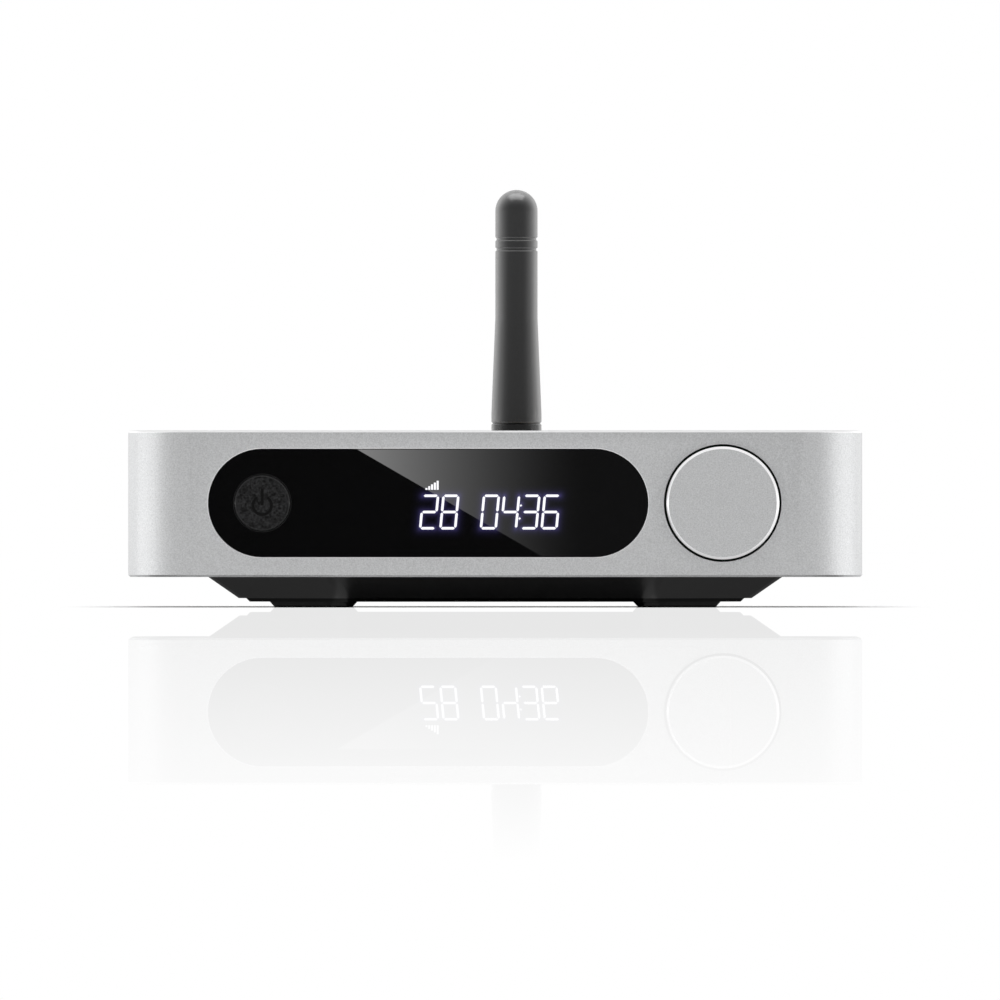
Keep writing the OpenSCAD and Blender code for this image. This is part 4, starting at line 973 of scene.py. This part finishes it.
# %% Add the mirror image and lay the table
FLOOR_REACH = 30.0
MIRROR_NEAR = 0.2
MIRROR_FADE = (26 * MM / VIEW_DISTANCE, 74 * MM / VIEW_DISTANCE)
mirror = floor_tree.nodes.new("ShaderNodeBsdfGlossy")
mirror.inputs["Color"].default_value = (1, 1, 1, 1)
mirror.inputs["Roughness"].default_value = 0
distance = floor_tree.nodes.new("ShaderNodeVectorMath")
distance.operation = "LENGTH"
floor_tree.links.new(place, distance.inputs[0])
ahead = add_math(floor_tree, "SUBTRACT", VIEW_DISTANCE, distance.outputs["Value"])
steepness = add_math(floor_tree, "DIVIDE", VIEW_Z, ahead)
fade = floor_tree.nodes.new("ShaderNodeMapRange")
fade.inputs["From Min"].default_value, fade.inputs["From Max"].default_value = MIRROR_FADE
fade.inputs["To Min"].default_value = MIRROR_NEAR
fade.inputs["To Max"].default_value = 0
floor_tree.links.new(steepness, fade.inputs["Value"])
table = mix_shader(floor_tree, fade.outputs["Result"], table, mirror.outputs[0])
floor_tree.links.new(table, floor_tree.nodes["Material Output"].inputs["Surface"])
card("floor", [
    (x * FLOOR_REACH, y * FLOOR_REACH, 0) for x, y in ((-1, -1), (1, -1), (1, 1), (-1, 1))
], floor_white)
print("table laid, mirror share", MIRROR_NEAR)

# %% [markdown]
# ## The room and its lamps
# The room is white to the eye, in mirrors and through glass, and its fill light is a little weaker.
# Two long lamps beside the case draw the bright bands on its round corners. They hang lower than the
# case's top, which would mirror them and burn out. Two larger and weaker ones stand behind. The one
# overhead lights the plastics, and is kept out of reflections for the same reason.

# %% Whiten the room
ROOM_FILL = 0.75
world = bpy.data.worlds.new("white_room")
scene.world = world
world.use_nodes = True
room = world.node_tree.nodes["Background"]
room.inputs["Color"].default_value = (1, 1, 1, 1)
fill = add_math(world.node_tree, "MULTIPLY_ADD", seen_rays(world.node_tree), 1 - ROOM_FILL, ROOM_FILL)
world.node_tree.links.new(fill, room.inputs["Strength"])
print("room fill", ROOM_FILL)

# %% Hang the softboxes
# Each row holds the place, the width, the height, the radiance and whether reflections show it.
SOFTBOXES = {
    "left_softbox": ((-0.75, -0.04, 0.0175), 0.7, 0.035, 3.45, True),
    "left_rim_softbox": ((-0.6, 0.55, 0.2), 0.5, 0.5, 0.5, True),
    "right_softbox": ((0.75, -0.04, 0.0175), 0.7, 0.035, 3.45, True),
    "right_rim_softbox": ((0.6, 0.55, 0.2), 0.5, 0.5, 0.5, True),
    "top_softbox": ((0, -0.1, 0.9), 0.6, 0.45, 2.4, False),
}
LAMP_AIM = Vector((0, 0, control_z))
for name, (place, width, height, radiance, shown) in SOFTBOXES.items():
    data = bpy.data.lights.new(name, "AREA")
    data.shape = "RECTANGLE"
    data.size, data.size_y = width, height
    data.energy = radiance * math.pi * width * height
    lamp = bpy.data.objects.new(name, data)
    lamp.location = place
    lamp.rotation_euler = (LAMP_AIM - Vector(place)).to_track_quat("-Z", "Y").to_euler()
    lamp.visible_glossy = shown
    scene.collection.objects.link(lamp)
print(len(SOFTBOXES), "softboxes")

# %% [markdown]
# ## Cards for the reflections
# Metal and gloss show what stands round them more than they show themselves. So cards are set up that
# only reflections see. A card shines on one side and is clear on the other, which Geometry's Backfacing
# tells apart. One that is meant for the blasted metal alone is also clear in sharp mirrors.

# %% Define a card
def card_finish(name, level, in_mirrors=True):
    """Light on one side of a card, clear on the other side and, where asked, in sharp mirrors."""
    material = bpy.data.materials.new(name)
    material.use_nodes = True
    tree = material.node_tree
    tree.nodes.remove(tree.nodes["Principled BSDF"])
    light = tree.nodes.new("ShaderNodeEmission")
    light.inputs["Strength"].default_value = level
    hidden = tree.nodes.new("ShaderNodeNewGeometry").outputs["Backfacing"]
    if not in_mirrors:
        sharp = tree.nodes.new("ShaderNodeLightPath").outputs["Is Singular Ray"]
        hidden = add_math(tree, "MAXIMUM", hidden, sharp)
    clear = tree.nodes.new("ShaderNodeBsdfTransparent")
    both = mix_shader(tree, hidden, light.outputs[0], clear.outputs[0])
    tree.links.new(both, tree.nodes["Material Output"].inputs["Surface"])
    return material


def mirror_card(name, corners, material):
    """A card that only reflections see."""
    piece = card(name, corners, material)
    piece.visible_camera = False
    piece.visible_diffuse = False
    piece.visible_shadow = False
    piece.visible_transmission = False
    print(name, "with", material.name)


def mirrored(x, z, y):
    """Where the line of sight that the window sends back from a point of it meets a card at y."""
    share = 1 + (window_face_y - y) / (window_face_y - camera.location.y)
    return (VIEW_X + (x - VIEW_X) * share, y, VIEW_Z + (z - VIEW_Z) * share)


# %% [markdown]
# ## Grey and black in front
# A wide grey card in front gives the blasted front its even grey. The window would mirror it and turn
# grey as well, so a small black flag hangs before it, just where the window looks.

# %% Set the grey card and the black flag
FRONT_Y = -1.6
FRONT_W = 3.3
FRONT_H = 1.6
FRONT_LEVEL = 0.61
mirror_card("front_card", [
    (x * FRONT_W / 2, FRONT_Y, z * FRONT_H) for x, z in ((-1, 0), (-1, 1), (1, 1), (1, 0))
], card_finish("front_grey", FRONT_LEVEL, in_mirrors=False))
FLAG_Y = FRONT_Y + 0.1
FLAG_MARGIN = 3 * MM
flag_left, flag_right = window_low.x - FLAG_MARGIN, window_high.x + FLAG_MARGIN
flag_low, flag_high = window_low.z - FLAG_MARGIN, window_high.z + FLAG_MARGIN
mirror_card("black_flag", [
    mirrored(x, z, FLAG_Y) for x, z in
    ((flag_left, flag_low), (flag_left, flag_high), (flag_right, flag_high), (flag_right, flag_low))
], card_finish("flag_black", 0))

# %% [markdown]
# ## A light on the aerial's tip
# The round tip of the aerial carries a soft spot of light. A lamp high up would draw it, and would
# burn out the case's top as well. A small bright card close over the tip draws it alone.

# %% Hold a card over the aerial
TIP_CARD_UP = 6 * MM
TIP_CARD_W = 11 * MM
TIP_CARD_D = 7 * MM
TIP_LEVEL = 6
tip_axis = (whip_low + whip_high) / 2
mirror_card("tip_card", [
    (tip_axis.x + x * TIP_CARD_W / 2, tip_axis.y - y * TIP_CARD_D, whip_high.z + TIP_CARD_UP)
    for x, y in ((-1, 1), (-1, 0), (1, 0), (1, 1))
], card_finish("tip_white", TIP_LEVEL))

# %% [markdown]
# ## Pale strips below
# The plinth's outer walls slope, so they mirror the table close in front of it. Pale strips there
# lighten the walls, brighter ones lighten the soft corners between them, and one more under the knob
# sets how bright the lower part of its polished edge is.

# %% Lay strips on the table
STRIP_Z = 0.3 * MM
STRIP_SPLIT = 33 * MM
# Each row holds where the strip starts, ends and stops at the back, and its level.
STRIPS = {
    "wall_strip": (STRIP_SPLIT, case_high.x, case_high.y, 0.2),
    "corner_strip": (29.8 * MM, STRIP_SPLIT, 0, 0.42),
}
for name, (inner, outer, back, level) in STRIPS.items():
    strip_pale = card_finish(name, level)
    corners = ((inner, case_low.y), (outer, case_low.y), (outer, back), (inner, back))
    for side in (-1, 1):
        points = [(side * x, y, STRIP_Z) for x, y in corners][::side]
        mirror_card(name + ("_left" if side < 0 else "_right"), points, strip_pale)
KNOB_CARD_OUT = 2 * MM
KNOB_CARD_FRONT = knob_low.y - 14 * MM
KNOB_LEVEL = 0.7
mirror_card("knob_card", [
    (knob_x + x * (knob_r + KNOB_CARD_OUT), y, STRIP_Z) for x, y in
    ((-1, KNOB_CARD_FRONT), (1, KNOB_CARD_FRONT), (1, front_y), (-1, front_y))
], card_finish("knob_pale", KNOB_LEVEL))

# %% [markdown]
# ## The slanting light in the window
# A white panel beside the camera draws a slanting edge of light across the window, bright at its upper
# end and fading to the right. One card does it: its left edge is the slant, and its light falls off
# along X in its own material.

# %% Set the panel
EDGE_TOP = (-31.7 * MM, 34.0 * MM)
EDGE_LOW = (20.1 * MM, 4.0 * MM)
GLEAM_END = 34.0 * MM
GLEAM_Y = FLAG_Y + 0.01
gleam_white = card_finish("gleam_white", 1)
mirror_card("gleam_card", [
    mirrored(*EDGE_LOW, GLEAM_Y), mirrored(*EDGE_TOP, GLEAM_Y),
    mirrored(GLEAM_END, EDGE_TOP[1], GLEAM_Y), mirrored(GLEAM_END, EDGE_LOW[1], GLEAM_Y),
], gleam_white)

# %% Let its light fall off
GLEAM_PEAK = 6.2
GLEAM_REST = 0.07
GLEAM_OUT = 19 * MM
GLEAM_POWER = 2
gleam_tree = gleam_white.node_tree
gleam_place = gleam_tree.nodes.new("ShaderNodeTexCoord")
gleam_axes = gleam_tree.nodes.new("ShaderNodeSeparateXYZ")
gleam_tree.links.new(gleam_place.outputs["Object"], gleam_axes.inputs[0])
along = gleam_tree.nodes.new("ShaderNodeMapRange")
along.inputs["From Min"].default_value = mirrored(GLEAM_OUT, 0, GLEAM_Y)[0]
along.inputs["From Max"].default_value = mirrored(*EDGE_TOP, GLEAM_Y)[0]
gleam_tree.links.new(gleam_axes.outputs["X"], along.inputs["Value"])
faded = add_math(gleam_tree, "POWER", along.outputs["Result"], GLEAM_POWER)
gleam_level = add_math(gleam_tree, "MULTIPLY_ADD", faded, GLEAM_PEAK, GLEAM_REST)
gleam_tree.links.new(gleam_level, gleam_tree.nodes["Emission"].inputs["Strength"])
print("gleam from", GLEAM_REST, "to", GLEAM_REST + GLEAM_PEAK)
